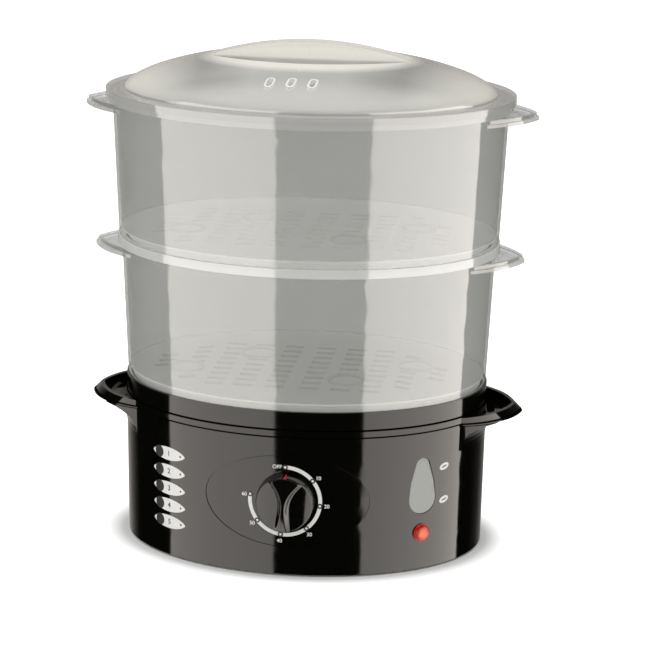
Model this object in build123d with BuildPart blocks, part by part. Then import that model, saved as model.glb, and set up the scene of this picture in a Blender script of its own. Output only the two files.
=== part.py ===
from build123d import *
import os
from math import atan2, cos, degrees, hypot, pi, radians, sin, sqrt

# Two-tier electric food steamer: an oval base with the heater, water tank and timer, a drip tray,
# two nesting bowls with slotted floors, and a domed lid. Millimetres, +Z up, the dial faces -Y,
# origin on the table under the middle of the oval.

os.makedirs("parts", exist_ok=True)

# ---- Plan oval: every shell is an ellipse whose half depth is this much less than its half width
oval_step = 32.0

# ---- Heights of the stack
foot_lift = 1.5          # table to the housing's lower edge
housing_height = 97.5
seam_gap = 0.6           # shadow line between two mouldings
band_height = 4.5        # visible edge of the water tank
collar_height = 12.4     # visible edge of the drip tray
bowl_height = 99.5       # seat to rim
lid_plate = 2.4          # thickness of the lid's flange
dome_rise = 29.0
grip_rise = 4.6          # crest of the grip bar above the dome

# ---- Half widths of the shells
housing_low_half = 126.0
housing_top_half = 127.2
band_half = 127.6
collar_half = 127.0
lower_bowl_half = 126.0  # bowl wall just above its seat
upper_bowl_half = 132.0
bowl_flare = 4.2         # half width gained from seat to rim
lid_half = 140.7
dome_half = 128.0

# ---- Walls and fits
housing_wall = 2.6
tank_wall = 2.2
tray_wall = 2.2
bowl_wall = 2.0
lid_wall = 2.0
drop_in_clearance = 0.4  # round the foot of a bowl, each side
lid_clearance = 0.3
plate_clearance = 0.4
running_clearance = 0.05
thread_clearance = 0.05

# ---- Bowl rim, foot, ears and floor
rim_reach = 2.8
rim_skirt = 6.0
rim_plate = 1.4
skirt_wall = 1.2
rim_rib_count = 18
rim_rib_width = 1.6
foot_depth = 6.0
floor_rise = 2.0         # seat to the underside of the floor
floor_thickness = 2.0
ear_drop = 7.2           # rim to the top of an ear
ear_depth = 4.8
ear_step = 2.2           # height of the ear's lower, wider edge
ear_plate = 1.6
ear_reach = 20.4         # wall to the tip of an ear
ear_root_span = 43.0
ear_root_depth = 14.0
ear_shoulder_reach = 7.5
ear_shoulder_span = 25.0
ear_nose_radius = 9.0
lip_inset = 1.4
recess_inset = 3.2
grille_shift = -3.5      # the slot pattern sits a little left of the middle
slot_length = 13.5
slot_width = 5.0
slot_row_pitch = 12.6
slot_rows_each_way = 4
slot_columns = (12.0, 33.5, 54.0)
side_slot_columns = (75.0, 96.0)
side_slot_length = 12.0
side_slot_angle = 24.0
floor_border = 15.0
egg_ring_radius = 12.5
egg_ring_wall = 1.3
egg_ring_height = 1.2
egg_ring_margin = 1.5
egg_ring_inner_place = (35.0, -29.0)
egg_ring_outer_place = (79.0, 15.0)

# ---- Lid
dome_fall_power = 1.8
dome_edge_power = 0.6
grip_half_length = 69.0
grip_half_width = 8.0
grip_edge_radius = 3.0
finger_recess_reach = 43.7
finger_recess_depth = 18.0
finger_recess_draft = 6.0
lid_skirt = 2.2          # below the flange
locating_lip_depth = 4.0
locating_lip_wall = 1.5
vent_length = 8.4
vent_width = 3.4
vent_pitch = 14.2
vent_back = 73.0
vent_angle = -9.0
vent_count = 3
vent_rim_length = 13.5
vent_rim_width = 6.6
vent_rim_rise = 0.6
vent_shift = -2.7
recess_gap = 2.0         # bar face to the tips of the finger recess
dome_steps = 14

# ---- Scoop handles (water inlets) and the flares under them
scoop_drop = 0.6         # band top to scoop rim
scoop_wall_height = 5.4
scoop_tip_half = 152.8
scoop_root_half = 112.0
scoop_root_span = 44.5
scoop_shoulder_half = 140.5
scoop_shoulder_span = 27.5
scoop_nose_radius = 9.0
scoop_lean = 5.4         # rim tip lies this much inside the widest point
scoop_wall = 2.2
scoop_seat_reach = 5.0
flare_radius = 17.5
flare_start = 78.5
flare_step = 14.0         # degrees between the sections of the flare
flare_steps = 7
pocket_floor = 94.5
duct_half_width = 13.0
duct_height = 4.0
duct_inner_half = 110.0

# ---- Drip tray
ledge_thickness = 2.4
tray_ledge_inset = 1.6
pan_half = 115.0
pan_depth = 14.0
chimney_radius = 31.0
chimney_height = 13.0
chimney_wall = 2.0

# ---- Water tank and the timer's bay in its front
tank_plate = 2.4
seat_ring_inset = 1.1    # skin of the housing to the ring the tank rests on
seat_ring_width = 1.9
scoop_ledge = 1.6
pocket_gap = 0.6
pocket_inset = 5.2
pocket_base = 2.5
duct_rise = 1.5          # pocket floor to the duct
bay_top = 82.0
gauge_boss_depth = 10.6
strap_pilot_depth = 5.0
basin_half = 119.0
basin_floor_height = 35.5
basin_floor = 2.5
bay_half_width = 28.0
bay_depth_from_front = 44.0
tank_post_radius = 4.5
tank_post_x = 62.0
tank_post_y = 50.0
post_pilot_radius = 1.45
post_pilot_depth = 16.0

# ---- Heater
heater_y = 8.0
heater_hole_radius = 41.0
seal_overlap = 6.0
seal_thickness = 2.0
seal_lip = 2.4
heater_gauge = 1.5
dish_height = 6.5
element_ring_radius = 27.0
element_radius = 3.2
element_sweep = 300.0
element_braze = 0.1      # brazed joint under the plate
element_sleeve = 0.5
element_drop = 9.0
element_pin_length = 6.0
element_pin_radius = 1.2
dish_radius = 38.3
dish_edge_radius = 2.0
seal_gap = 0.3
blade_width = 6.3
blade_gauge = 0.8
blade_offset = 4.0
blade_length = 10.0
thermostat_radius = 8.0
thermostat_flange_radius = 11.0
fuse_length = 15.0
fuse_cap = 2.5
fuse_x = 17.6
strap_width = 18.0
strap_reach = 58.0
strap_gauge = 1.5
strap_hole_radius = 7.0
strap_boss_radius = 4.5
strap_boss_reach = 53.0
steam_ring_radius = 49.0
steam_ring_wall = 2.0
steam_ring_height = 32.0
steam_ring_notches = 6
steam_ring_notch = 9.0

# ---- Screws
screw_radius = 1.4
screw_head_radius = 3.2
screw_head_height = 1.8
screw_head_taper = 14.0

# ---- Dial, timer and knob
dial_height = 52.7       # above the housing's lower edge
groove_half_width = 56.3
groove_half_height = 33.0
groove_width = 0.9
groove_depth = 0.5
knob_gap = 1.0
knob_back_radius = 20.0
knob_front_radius = 18.3
knob_depth = 13.0
knob_edge_radius = 1.2
knob_cavity_radius = 17.6
knob_cavity_depth = 1.5
knob_hub_radius = 5.5
grip_waist = 6.0
scallop_radius = 31.0
scallop_drop = 4.0
scallop_depth = 9.5
scallop_draft = 12.0
shaft_radius = 3.0
shaft_flat = 2.2
shaft_in_knob = 7.0
shaft_in_timer = 5.0
shaft_hole_radius = 4.2
timer_width = 44.0
timer_height = 44.0
timer_depth = 26.0
timer_face_gap = 7.0     # housing's outer face to the timer's front plate
timer_plate = 1.2
timer_plate_width = 50.0
timer_screw_spacing = 28.0
timer_boss_radius = 4.0
timer_neck_radius = 5.0
timer_screw_length = 10.0
timer_screw_seat = 1.2
counterbore_clearance = 0.4
timer_neck = 4.0
bell_stem_radius = 2.0
bell_edge_radius = 2.5
timer_corner = 4.0
bell_radius = 15.0
bell_depth = 6.0
bell_wall = 1.0

# ---- Sight glass
gauge_angle = 45.5       # round the oval from the middle of the front
bulb_height = 50.0       # above the housing's lower edge
bulb_radius = 10.6
flank_radius = 9.4
flank_rise = 10.4
tip_radius = 5.6
tip_rise = 24.2
gauge_tilt = 1.0
gauge_recess = 0.7
gauge_clearance = 0.25
gauge_flange = 3.0
gauge_flange_depth = 4.0
gauge_flange_thickness = 1.5
gauge_lens = 1.8
gauge_bore_inset = 2.2
gauge_seal_thickness = 1.4
gauge_boss_margin = 2.0
seal_play = 0.03

# ---- Power lamp
lamp_angle = 45.3
lamp_height = 25.9
lamp_hole_radius = 5.9
lamp_rim_radius = 6.3
lamp_rim = 1.2
lamp_dome = 2.2
lamp_dome_radius = 5.6
lamp_neck_end = 6.0
lamp_dome_fillet = 2.0
lamp_bore_reach = 0.5    # how far the bore runs out past the skin
lamp_flange_radius = 7.5
lamp_flange_depth = 3.0
lamp_flange_thickness = 1.5
lamp_bore_radius = 4.0
neon_radius = 2.6
neon_length = 8.0
holder_thickness = 2.5

# ---- Base plate, feet and mains inlet
plate_height = 2.5       # table to the underside of the base plate
plate_thickness = 2.5
plate_ledge = 4.0
plate_ledge_thickness = 2.0
foot_radius = 7.5
foot_x = 85.0
foot_y = 42.0
foot_stem_radius = 2.5
foot_stem_clearance = 0.1
foot_bead_radius = 3.6
foot_bead_height = 1.2
foot_edge_radius = 0.8
base_screw_length = 14.0
air_slot_length = 26.0
air_slot_width = 3.0
air_slot_pitch = 8.0
air_slot_count = 5
air_slot_x = 30.0
cord_height = 22.0
cord_bore_radius = 3.75
boot_length = 8.0
boot_taper = 9.0
bushing_neck_radius = 6.0
bushing_clearance = 0.1
bushing_flange_radius = 9.0
bushing_flange = 2.0
bushing_clip_radius = 7.5
bushing_clip_gap = 0.5
clamp_y = 76.0
clamp_width = 8.0
clamp_half_span = 14.0
clamp_tab = 3.0
clamp_arch_wall = 2.6
clamp_screw_x = 10.5
clamp_screw_length = 11.0
terminal_x = -40.0
terminal_y = 58.0
terminal_size = (30.0, 15.0, 12.0)
terminal_bore_radius = 2.0
terminal_pitch = 9.0
bore_height = 10.0
poles = (-1, 0, 1)

# ---- Levels worked out from the stack
housing_top = foot_lift + housing_height
band_low = housing_top + seam_gap
band_top = band_low + band_height
collar_low = band_top + seam_gap
collar_top = collar_low + collar_height
lower_rim_top = collar_top + bowl_height
upper_rim_top = lower_rim_top + bowl_height
flange_top = upper_rim_top + lid_plate
plate_top = plate_height + plate_thickness
scoop_rim = band_top - scoop_drop
scoop_low = scoop_rim - scoop_wall_height
flare_top = scoop_low - seam_gap
bay_back = -(housing_low_half - oval_step) + bay_depth_from_front
cut = 400.0              # longer than anything it trims


# ---- Shared shapes
def oval_prism(half, low, high):
    """Upright solid whose plan is the product's oval."""
    with BuildPart() as solid:
        with BuildSketch(Plane.XY.offset(low)):
            Ellipse(half, half - oval_step)
        extrude(amount=high - low)
    return solid.part


def oval_loft(*sections):
    """Solid through ovals given as (half width, height) from the bottom up."""
    with BuildPart() as solid:
        for half, height in sections:
            with BuildSketch(Plane.XY.offset(height)):
                Ellipse(half, half - oval_step)
        loft(ruled=True)
    return solid.part


def nose_prism(root, root_span, shoulder, shoulder_span, tip, nose, low, high, lean=0.0):
    """Pair of pointed D shapes, one on each end of the oval, for ears and scoops."""
    with BuildPart() as solid:
        for height, back in ((low, 0.0), (high, lean)):
            with BuildSketch(Plane.XY.offset(height)) as outline:
                with BuildLine():
                    lower_side = ThreePointArc(
                        (root, -root_span), (shoulder - back, -shoulder_span), (tip - back, 0)
                    )
                    mirror(lower_side, about=Plane.XZ)
                    Line((root, -root_span), (root, root_span))
                make_face()
                fillet(outline.vertices().sort_by(Axis.X)[-1], radius=nose)
        loft(ruled=True)
        mirror(about=Plane.YZ)
    return solid.part


def housing_half(height):
    """Half width of the housing's skin at a height above its lower edge."""
    return housing_low_half + (housing_top_half - housing_low_half) * height / housing_height


def front_plane(angle, height, depth=0.0, tilt=0.0):
    """Plane on the housing's skin, its normal outwards, at an angle round from the front."""
    half = housing_half(height)
    turn = radians(angle)
    place = Vector(half * sin(turn), -(half - oval_step) * cos(turn), foot_lift + height)
    normal = Vector(sin(turn) / half, -cos(turn) / (half - oval_step), 0).normalized()
    lean = radians(tilt)
    across = Vector(-normal.Y * cos(lean), normal.X * cos(lean), sin(lean))
    return Plane(origin=place - normal * depth, x_dir=across, z_dir=normal)


def screws(places, direction, length):
    """Group of equal pan-head screws: the head's seat on each place, shank along the direction."""
    with BuildPart() as group:
        for place in places:
            with BuildSketch(Plane(origin=place, z_dir=direction)):
                Circle(screw_radius)
            extrude(amount=length)
            with BuildSketch(Plane(origin=place, z_dir=direction)):
                Circle(screw_head_radius)
            extrude(amount=-screw_head_height, taper=screw_head_taper)
    return group.part


# ---- Housing: oval shell, flared out under the two scoops
def flare(grow, low, high):
    """Oval shell outline that sweeps outwards in a quarter circle, for the scoops to stand on."""
    start = foot_lift + flare_start
    wall_half = housing_half(flare_start) + grow
    turns = [radians(step * flare_step) for step in range(flare_steps)]
    sections = [(wall_half + flare_radius * (1 - cos(t)), start + flare_radius * sin(t)) for t in turns]
    sections.append((scoop_tip_half + flare_radius, band_top + flare_radius))
    with BuildPart() as solid:
        add(oval_loft(*sections))
        with Locations((0, 0, (low + high) / 2)):
            Box(cut, cut, high - low, mode=Mode.INTERSECT)
    return solid.part


def scoop_outline(inset, low, high, lean=0.0):
    """Pair of scoop outlines, drawn in by an inset."""
    return nose_prism(
        scoop_root_half - inset, scoop_root_span - inset, scoop_shoulder_half - inset,
        scoop_shoulder_span - inset, scoop_tip_half - inset, scoop_nose_radius - inset / 2,
        low, high, lean,
    )


def scoop_part(grow, inset, low, high):
    """What lies inside both the flare and the scoop's outline."""
    with BuildPart() as solid:
        add(flare(grow, low, high))
        add(scoop_outline(inset, low, high), mode=Mode.INTERSECT)
    return solid.part


housing_skin = oval_loft((housing_low_half, foot_lift), (housing_top_half, housing_top))
housing_hollow = oval_loft(
    (housing_low_half - housing_wall, foot_lift), (housing_top_half - housing_wall, housing_top)
)
corbels = scoop_part(0, 0, foot_lift + flare_start, flare_top)
corbel_hollow = scoop_part(-housing_wall, housing_wall, foot_lift + flare_start, flare_top)
with BuildPart() as scoop_seat:
    add(scoop_outline(-seam_gap, flare_top, housing_top))
    with Locations(*[(side * scoop_root_half, 0, (flare_top + housing_top) / 2) for side in (-1, 1)]):
        Box(2 * scoop_seat_reach, 2 * (scoop_root_span + seam_gap), housing_top - flare_top)
dial_centre = foot_lift + dial_height
front_depth = housing_half(dial_height) - oval_step
timer_face = -(front_depth - timer_face_gap)
timer_screw_places = [(side * timer_screw_spacing / 2, dial_centre) for side in (-1, 1)]

# Oval groove round the dial: a thin ring pressed a little way into the skin
with BuildPart() as dial_groove:
    with BuildSketch(Plane.XZ.offset(front_depth / 2)) as groove_ring:
        with Locations((0, dial_centre)):
            Ellipse(groove_half_width, groove_half_height)
            Ellipse(groove_half_width - groove_width, groove_half_height - groove_width, mode=Mode.SUBTRACT)
    extrude(amount=front_depth)
    add(
        oval_loft(
            (housing_low_half - groove_depth, foot_lift), (housing_top_half - groove_depth, housing_top)
        ),
        mode=Mode.SUBTRACT,
    )


def teardrop_prism(grow, near, far):
    """Sight glass outline between two depths below the skin."""
    with BuildPart() as solid:
        with BuildSketch(front_plane(gauge_angle, bulb_height, near, gauge_tilt)):
            Circle(bulb_radius + grow)
            with Locations((0, flank_rise)):
                Circle(flank_radius + grow)
            with Locations((0, tip_rise)):
                Circle(tip_radius + grow)
            make_hull()
        extrude(amount=near - far)
    return solid.part


def lamp_disc(radius, near, far):
    """Disc on the lamp's axis between two depths below the skin."""
    with BuildPart() as solid:
        with BuildSketch(front_plane(lamp_angle, lamp_height, near)):
            Circle(radius)
        extrude(amount=near - far)
    return solid.part


with BuildPart() as base_housing:
    add(housing_skin)
    add(corbels)
    add(housing_hollow, mode=Mode.SUBTRACT)
    add(corbel_hollow, mode=Mode.SUBTRACT)
    add(scoop_seat.part, mode=Mode.SUBTRACT)
    add(dial_groove.part, mode=Mode.SUBTRACT)
    # Inner ledge that the base plate closes against
    with BuildSketch(Plane.XY.offset(plate_top)):
        Ellipse(housing_low_half - housing_wall / 2, housing_low_half - housing_wall / 2 - oval_step)
        Ellipse(
            housing_low_half - housing_wall - plate_ledge,
            housing_low_half - housing_wall - plate_ledge - oval_step,
            mode=Mode.SUBTRACT,
        )
    extrude(amount=plate_ledge_thickness)
    # Timer bosses behind the dial, the shaft's hole and the screws' holes
    with BuildSketch(Plane.XZ.offset(-timer_face)):
        with Locations(*timer_screw_places):
            Circle(timer_boss_radius)
    extrude(amount=timer_face_gap - housing_wall / 2)
    with BuildSketch(Plane.XZ.offset(-timer_face)):
        with Locations((0, dial_centre)):
            Circle(shaft_hole_radius)
    extrude(amount=timer_face_gap * 2, mode=Mode.SUBTRACT)
    with BuildSketch(Plane.XZ.offset(front_depth - timer_screw_seat)):
        with Locations(*timer_screw_places):
            Circle(screw_head_radius + counterbore_clearance)
    extrude(amount=timer_face_gap, mode=Mode.SUBTRACT)
    with BuildSketch(Plane.XZ.offset(-timer_face)):
        with Locations(*timer_screw_places):
            Circle(screw_radius + thread_clearance)
    extrude(amount=timer_face_gap * 2, mode=Mode.SUBTRACT)
    # Openings for the sight glass, the lamp and the mains bushing
    add(teardrop_prism(0, -housing_wall, gauge_flange_depth), mode=Mode.SUBTRACT)
    add(lamp_disc(lamp_hole_radius + bushing_clearance, -housing_wall, lamp_flange_depth), mode=Mode.SUBTRACT)
    with BuildSketch(Plane.XZ):
        with Locations((0, cord_height)):
            Circle(bushing_neck_radius + bushing_clearance)
    extrude(amount=-housing_low_half, mode=Mode.SUBTRACT)

# ---- Water tank: a basin hung from the band that closes the housing, with a scoop at each end
def oval_ring(outer, inner, low, high):
    """Upright wall between two ovals."""
    with BuildPart() as solid:
        with BuildSketch(Plane.XY.offset(low)):
            Ellipse(outer, outer - oval_step)
            Ellipse(inner, inner - oval_step, mode=Mode.SUBTRACT)
        extrude(amount=high - low)
    return solid.part


def front_box(half_width, back, low, high):
    """Block that reaches forward from a depth, for the timer's bay."""
    with BuildPart() as solid:
        with Locations((0, back - cut / 2, (low + high) / 2)):
            Box(2 * half_width, cut, high - low)
    return solid.part


def duct_boxes(half_width, low, high):
    """Pair of blocks that cross the gap between each scoop's pocket and the basin."""
    with BuildPart() as solid:
        with Locations(*[(side * duct_middle, 0, (low + high) / 2) for side in (-1, 1)]):
            Box(duct_span, 2 * half_width, high - low)
    return solid.part


plate_low = band_top - tank_plate
basin_floor_top = basin_floor_height + basin_floor
strap_top = basin_floor_height - seal_thickness - heater_gauge
pocket_low = pocket_floor - pocket_base
ledge_top = scoop_low + scoop_ledge
hidden_gap = housing_wall + pocket_gap
duct_low = pocket_floor + duct_rise
duct_middle = (basin_half + band_half) / 2 - tank_wall
duct_span = band_half - basin_half + 3 * tank_wall
seat_outer = housing_top_half - seat_ring_inset
post_places = [(sx * tank_post_x, sy * tank_post_y) for sx in (-1, 1) for sy in (-1, 1)]
strap_boss_places = [(side * strap_boss_reach, heater_y) for side in (-1, 1)]
gauge_boss_front = gauge_flange_depth + gauge_flange_thickness + gauge_seal_thickness

with BuildPart() as pockets:
    add(scoop_outline(0, scoop_low, scoop_rim, scoop_lean))
    add(scoop_part(-hidden_gap, hidden_gap, pocket_low, scoop_low))
    add(oval_prism(band_half - tank_wall, pocket_low, scoop_rim), mode=Mode.SUBTRACT)

with BuildPart() as pocket_hollow:
    add(scoop_outline(scoop_wall, scoop_low, scoop_rim, scoop_lean))
    with Locations((0, 0, ledge_top - cut / 2)):
        Box(cut, cut, cut, mode=Mode.SUBTRACT)
    add(scoop_part(-pocket_inset, pocket_inset, pocket_floor, ledge_top))
    add(oval_prism(band_half, pocket_low, scoop_rim), mode=Mode.SUBTRACT)

with BuildPart() as basin_hollow:
    add(oval_prism(basin_half - tank_wall, basin_floor_top, band_top))
    add(
        front_box(bay_half_width + tank_wall, bay_back + tank_wall, basin_floor_top, bay_top + tank_wall),
        mode=Mode.SUBTRACT,
    )

with BuildPart() as water_tank:
    add(oval_prism(band_half, plate_low, band_top))
    add(oval_ring(band_half, band_half - tank_wall, band_low, plate_low))
    add(oval_ring(seat_outer, seat_outer - seat_ring_width, housing_top, plate_low))
    add(oval_prism(basin_half, basin_floor_height, plate_low))
    add(pockets.part)
    add(duct_boxes(duct_half_width + tank_wall, duct_low - tank_wall, plate_low))
    add(front_box(bay_half_width, bay_back, basin_floor_height, bay_top), mode=Mode.SUBTRACT)
    add(teardrop_prism(gauge_boss_margin, gauge_boss_front, gauge_boss_depth))
    add(basin_hollow.part, mode=Mode.SUBTRACT)
    add(pocket_hollow.part, mode=Mode.SUBTRACT)
    add(duct_boxes(duct_half_width, duct_low, duct_low + duct_height), mode=Mode.SUBTRACT)
    add(teardrop_prism(-gauge_bore_inset, gauge_boss_front, 2 * gauge_boss_depth), mode=Mode.SUBTRACT)
    # Posts that the base plate is screwed to, and bosses for the heater's strap
    with BuildSketch(Plane.XY.offset(plate_top)):
        with Locations(*post_places):
            Circle(tank_post_radius)
    extrude(amount=basin_floor_height - plate_top)
    with BuildSketch(Plane.XY.offset(strap_top)):
        with Locations(*strap_boss_places):
            Circle(strap_boss_radius)
    extrude(amount=basin_floor_height - strap_top)
    with BuildSketch(Plane.XY.offset(basin_floor_height)):
        with Locations((0, heater_y)):
            Circle(heater_hole_radius)
    extrude(amount=basin_floor, mode=Mode.SUBTRACT)
    with BuildSketch(Plane.XY.offset(plate_top)):
        with Locations(*post_places):
            Circle(screw_radius + thread_clearance)
    extrude(amount=post_pilot_depth, mode=Mode.SUBTRACT)
    with BuildSketch(Plane.XY.offset(strap_top)):
        with Locations(*strap_boss_places):
            Circle(screw_radius + thread_clearance)
    extrude(amount=strap_pilot_depth, mode=Mode.SUBTRACT)

# ---- Drip tray: collar, the ledge it rests on, the juice pan and the steam chimney
pan_low = band_top + ledge_thickness - pan_depth
pan_top = pan_low + tray_wall
chimney_top = pan_top + chimney_height

with BuildPart() as drip_tray:
    add(oval_ring(collar_half, collar_half - tray_wall, collar_low, collar_top))
    add(oval_ring(collar_half - tray_ledge_inset, pan_half - tray_wall, band_top, band_top + ledge_thickness))
    add(oval_ring(pan_half, pan_half - tray_wall, pan_low, band_top + ledge_thickness))
    add(oval_prism(pan_half, pan_low, pan_top))
    with BuildSketch(Plane.XY.offset(pan_low)):
        Circle(chimney_radius)
    extrude(amount=chimney_top - pan_low)
    with BuildSketch(Plane.XY.offset(pan_low)):
        Circle(chimney_radius - chimney_wall)
    extrude(amount=chimney_top - pan_low, mode=Mode.SUBTRACT)


# ---- Steaming bowls
def ear_outline(half, inset, low, high):
    """Pair of ear outlines on a bowl, drawn in by an inset."""
    return nose_prism(
        half - ear_root_depth, ear_root_span - inset, half + ear_shoulder_reach - inset,
        ear_shoulder_span - inset, half + ear_reach - inset, ear_nose_radius - inset / 2, low, high,
    )


def floor_slots(half, low):
    """Cutters for the slotted floor: straight columns, with slanted ones towards the ends."""
    reach = half - bowl_wall - floor_border
    rows = [row * slot_row_pitch for row in range(-slot_rows_each_way, slot_rows_each_way + 1)]
    columns = [(side * x, 0.0, slot_length) for x in slot_columns for side in (-1, 1)]
    columns += [(side * x, -side * side_slot_angle, side_slot_length)
                for x in side_slot_columns for side in (-1, 1)]
    with BuildPart() as cutters:
        with BuildSketch(Plane.XY.offset(low)):
            for x, angle, length in columns:
                for y in rows:
                    far_x = abs(x) + length / 2
                    far_y = abs(y) + slot_width / 2
                    if hypot(far_x / reach, far_y / (reach - oval_step)) < 1:
                        with Locations(Location((x + grille_shift, y, 0), angle)):
                            Rectangle(length, slot_width)
            # No slots under the egg rings
            with Locations(*egg_places):
                Circle(egg_ring_radius + egg_ring_margin, mode=Mode.SUBTRACT)
        extrude(amount=floor_thickness)
    return cutters.part


def rim_ribs(half, low, high):
    """Spokes that are left standing in the channel under a rim."""
    with BuildPart() as spokes:
        with BuildSketch(Plane.XY.offset(low)):
            for step in range(rim_rib_count // 2):
                turn = 2 * pi * step / rim_rib_count
                bearing = degrees(atan2(-(half - oval_step) * cos(turn), half * sin(turn)))
                with Locations(Location((0, 0, 0), bearing)):
                    Rectangle(cut, rim_rib_width)
        extrude(amount=high - low)
    return spokes.part


def steaming_bowl(half, mouth, seat):
    """Bowl with its foot in the mouth below, a slotted floor, a channelled rim and two ears."""
    rim = seat + bowl_height
    top_half = half + bowl_flare
    rim_half = top_half + rim_reach
    foot_half = mouth - drop_in_clearance
    ear_top = rim - ear_drop
    ear_low = ear_top - ear_depth
    wall_skin = oval_loft((half, seat), (top_half, rim))
    wall_hollow = oval_loft((half - bowl_wall, seat), (top_half - bowl_wall, rim))
    slots = floor_slots(half, seat + floor_rise)
    with BuildPart() as channel:
        add(oval_prism(rim_half - skirt_wall, rim - rim_skirt, rim - rim_plate))
        add(wall_skin, mode=Mode.SUBTRACT)
        add(rim_ribs(rim_half, rim - rim_skirt, rim), mode=Mode.SUBTRACT)
    with BuildPart() as hollow:
        add(wall_hollow)
        with Locations((0, 0, seat + floor_rise + floor_thickness - cut / 2)):
            Box(cut, cut, cut, mode=Mode.SUBTRACT)
    with BuildPart() as bowl:
        add(wall_skin)
        add(oval_prism(rim_half, rim - rim_skirt, rim))
        add(channel.part, mode=Mode.SUBTRACT)
        add(ear_outline(top_half, 0, ear_low, ear_low + ear_step))
        add(ear_outline(top_half, lip_inset, ear_low + ear_step, ear_top))
        add(ear_recess(top_half, wall_skin, ear_low + ear_plate, ear_top), mode=Mode.SUBTRACT)
        add(hollow.part, mode=Mode.SUBTRACT)
        # Space under the floor, and the foot that drops into the mouth below
        add(oval_prism(foot_half - bowl_wall, seat, seat + floor_rise), mode=Mode.SUBTRACT)
        add(oval_ring(foot_half, foot_half - bowl_wall, seat - foot_depth, seat + floor_rise))
        add(slots, mode=Mode.SUBTRACT)
        with BuildSketch(Plane.XY.offset(seat + floor_rise + floor_thickness)):
            with Locations(*egg_places):
                Circle(egg_ring_radius)
                Circle(egg_ring_radius - egg_ring_wall, mode=Mode.SUBTRACT)
        extrude(amount=egg_ring_height)
    return bowl.part


def ear_recess(half, wall_skin, low, high):
    """Sunk panel on top of each ear, outside the bowl's wall."""
    with BuildPart() as solid:
        add(ear_outline(half, recess_inset, low, high))
        add(wall_skin, mode=Mode.SUBTRACT)
    return solid.part


egg_places = [
    (grille_shift + side * x, side * turn_y)
    for x, turn_y in (egg_ring_inner_place, egg_ring_outer_place) for side in (-1, 1)
]
lower_mouth = collar_half - tray_wall
upper_mouth = lower_bowl_half + bowl_flare - bowl_wall
lower_bowl = steaming_bowl(lower_bowl_half, lower_mouth, collar_top)
upper_bowl = steaming_bowl(upper_bowl_half, upper_mouth, lower_rim_top)

# ---- Lid: dome on a flat flange, a grip bar between two finger recesses, three vents
def dome_height(share):
    """Height of the dome's skin at a share of the way out to its edge."""
    return flange_top + dome_rise * (1 - share**dome_fall_power) ** dome_edge_power


def dome(rise, half):
    """Low dome over the oval; its height falls off gently, then steeply towards the edge."""
    shares = [sin(radians(90 * step / dome_steps)) for step in range(dome_steps + 1)]
    heights = [rise * (1 - share**dome_fall_power) ** dome_edge_power for share in shares]
    points = [(half * share, flange_top + height) for share, height in zip(shares, heights)]
    with BuildPart() as solid:
        with BuildSketch(Plane.XZ):
            with BuildLine():
                Spline(*points, tangents=((1, 0), (0, -1)))
                Polyline(points[-1], (half, upper_rim_top), (0, upper_rim_top), points[0])
            make_face()
        revolve(axis=Axis.Z)
        scale(by=(1, (half - oval_step) / half, 1))
    return solid.part


def grip_bar(inset):
    """Bar along the lid whose crest is an arc, drawn in by an inset."""
    reach = grip_half_length
    ends = dome_height(reach / dome_half) - inset
    with BuildPart() as solid:
        with BuildSketch(Plane.XZ.offset(-(grip_half_width - inset))):
            with BuildLine():
                crest = ThreePointArc((-reach, ends), (0, grip_crest - inset), (reach, ends))
                Polyline(crest @ 1, (reach, upper_rim_top), (-reach, upper_rim_top), crest @ 0)
            make_face()
        extrude(amount=2 * (grip_half_width - inset))
    return solid.part


def finger_recesses(grow):
    """Pair of D shaped wells beside the bar, grown outwards by a wall."""
    floor = grip_lip - finger_recess_depth - grow
    with BuildPart() as solid:
        with BuildSketch(Plane.XY.offset(floor)):
            with BuildLine():
                well = ThreePointArc(
                    (-grip_half_length + well_draft - grow, -grip_half_width + grow),
                    (0, -finger_recess_reach + well_draft - grow),
                    (grip_half_length - well_draft + grow, -grip_half_width + grow),
                )
                Line(well @ 1, well @ 0)
            make_face()
        extrude(amount=finger_recess_depth * 2, taper=-finger_recess_draft)
        # The bar keeps straight faces
        with Locations((0, -grip_half_width + grow + cut / 2, floor)):
            Box(cut, cut, cut, mode=Mode.SUBTRACT)
        mirror(about=Plane.XZ)
    return solid.part


def vent_shapes(length, width, low):
    """Upright prisms of the vents' outline."""
    with BuildPart() as solid:
        with BuildSketch(Plane.XY.offset(low)):
            for place in range(vent_count):
                x = vent_shift + (place - (vent_count - 1) / 2) * vent_pitch
                with Locations(Location((x, -vent_back, 0), 90 + vent_angle)):
                    SlotOverall(length, width)
        extrude(amount=dome_rise * 2)
    return solid.part


grip_crest = flange_top + dome_rise + grip_rise
grip_lip = dome_height(finger_recess_reach / (dome_half - oval_step))
well_draft = finger_recess_depth * sin(radians(finger_recess_draft)) / cos(radians(finger_recess_draft))
rim_half = upper_bowl_half + bowl_flare + rim_reach
lid_mouth = upper_bowl_half + bowl_flare - bowl_wall - drop_in_clearance

with BuildPart() as vent_rims:
    add(dome(dome_rise + vent_rim_rise, dome_half + vent_rim_rise))
    add(vent_shapes(vent_rim_length, vent_rim_width, flange_top), mode=Mode.INTERSECT)

with BuildPart() as lid_hollow:
    add(dome(dome_rise - lid_wall, dome_half - lid_wall))
    add(grip_bar(lid_wall))
    add(finger_recesses(lid_wall), mode=Mode.SUBTRACT)

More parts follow.
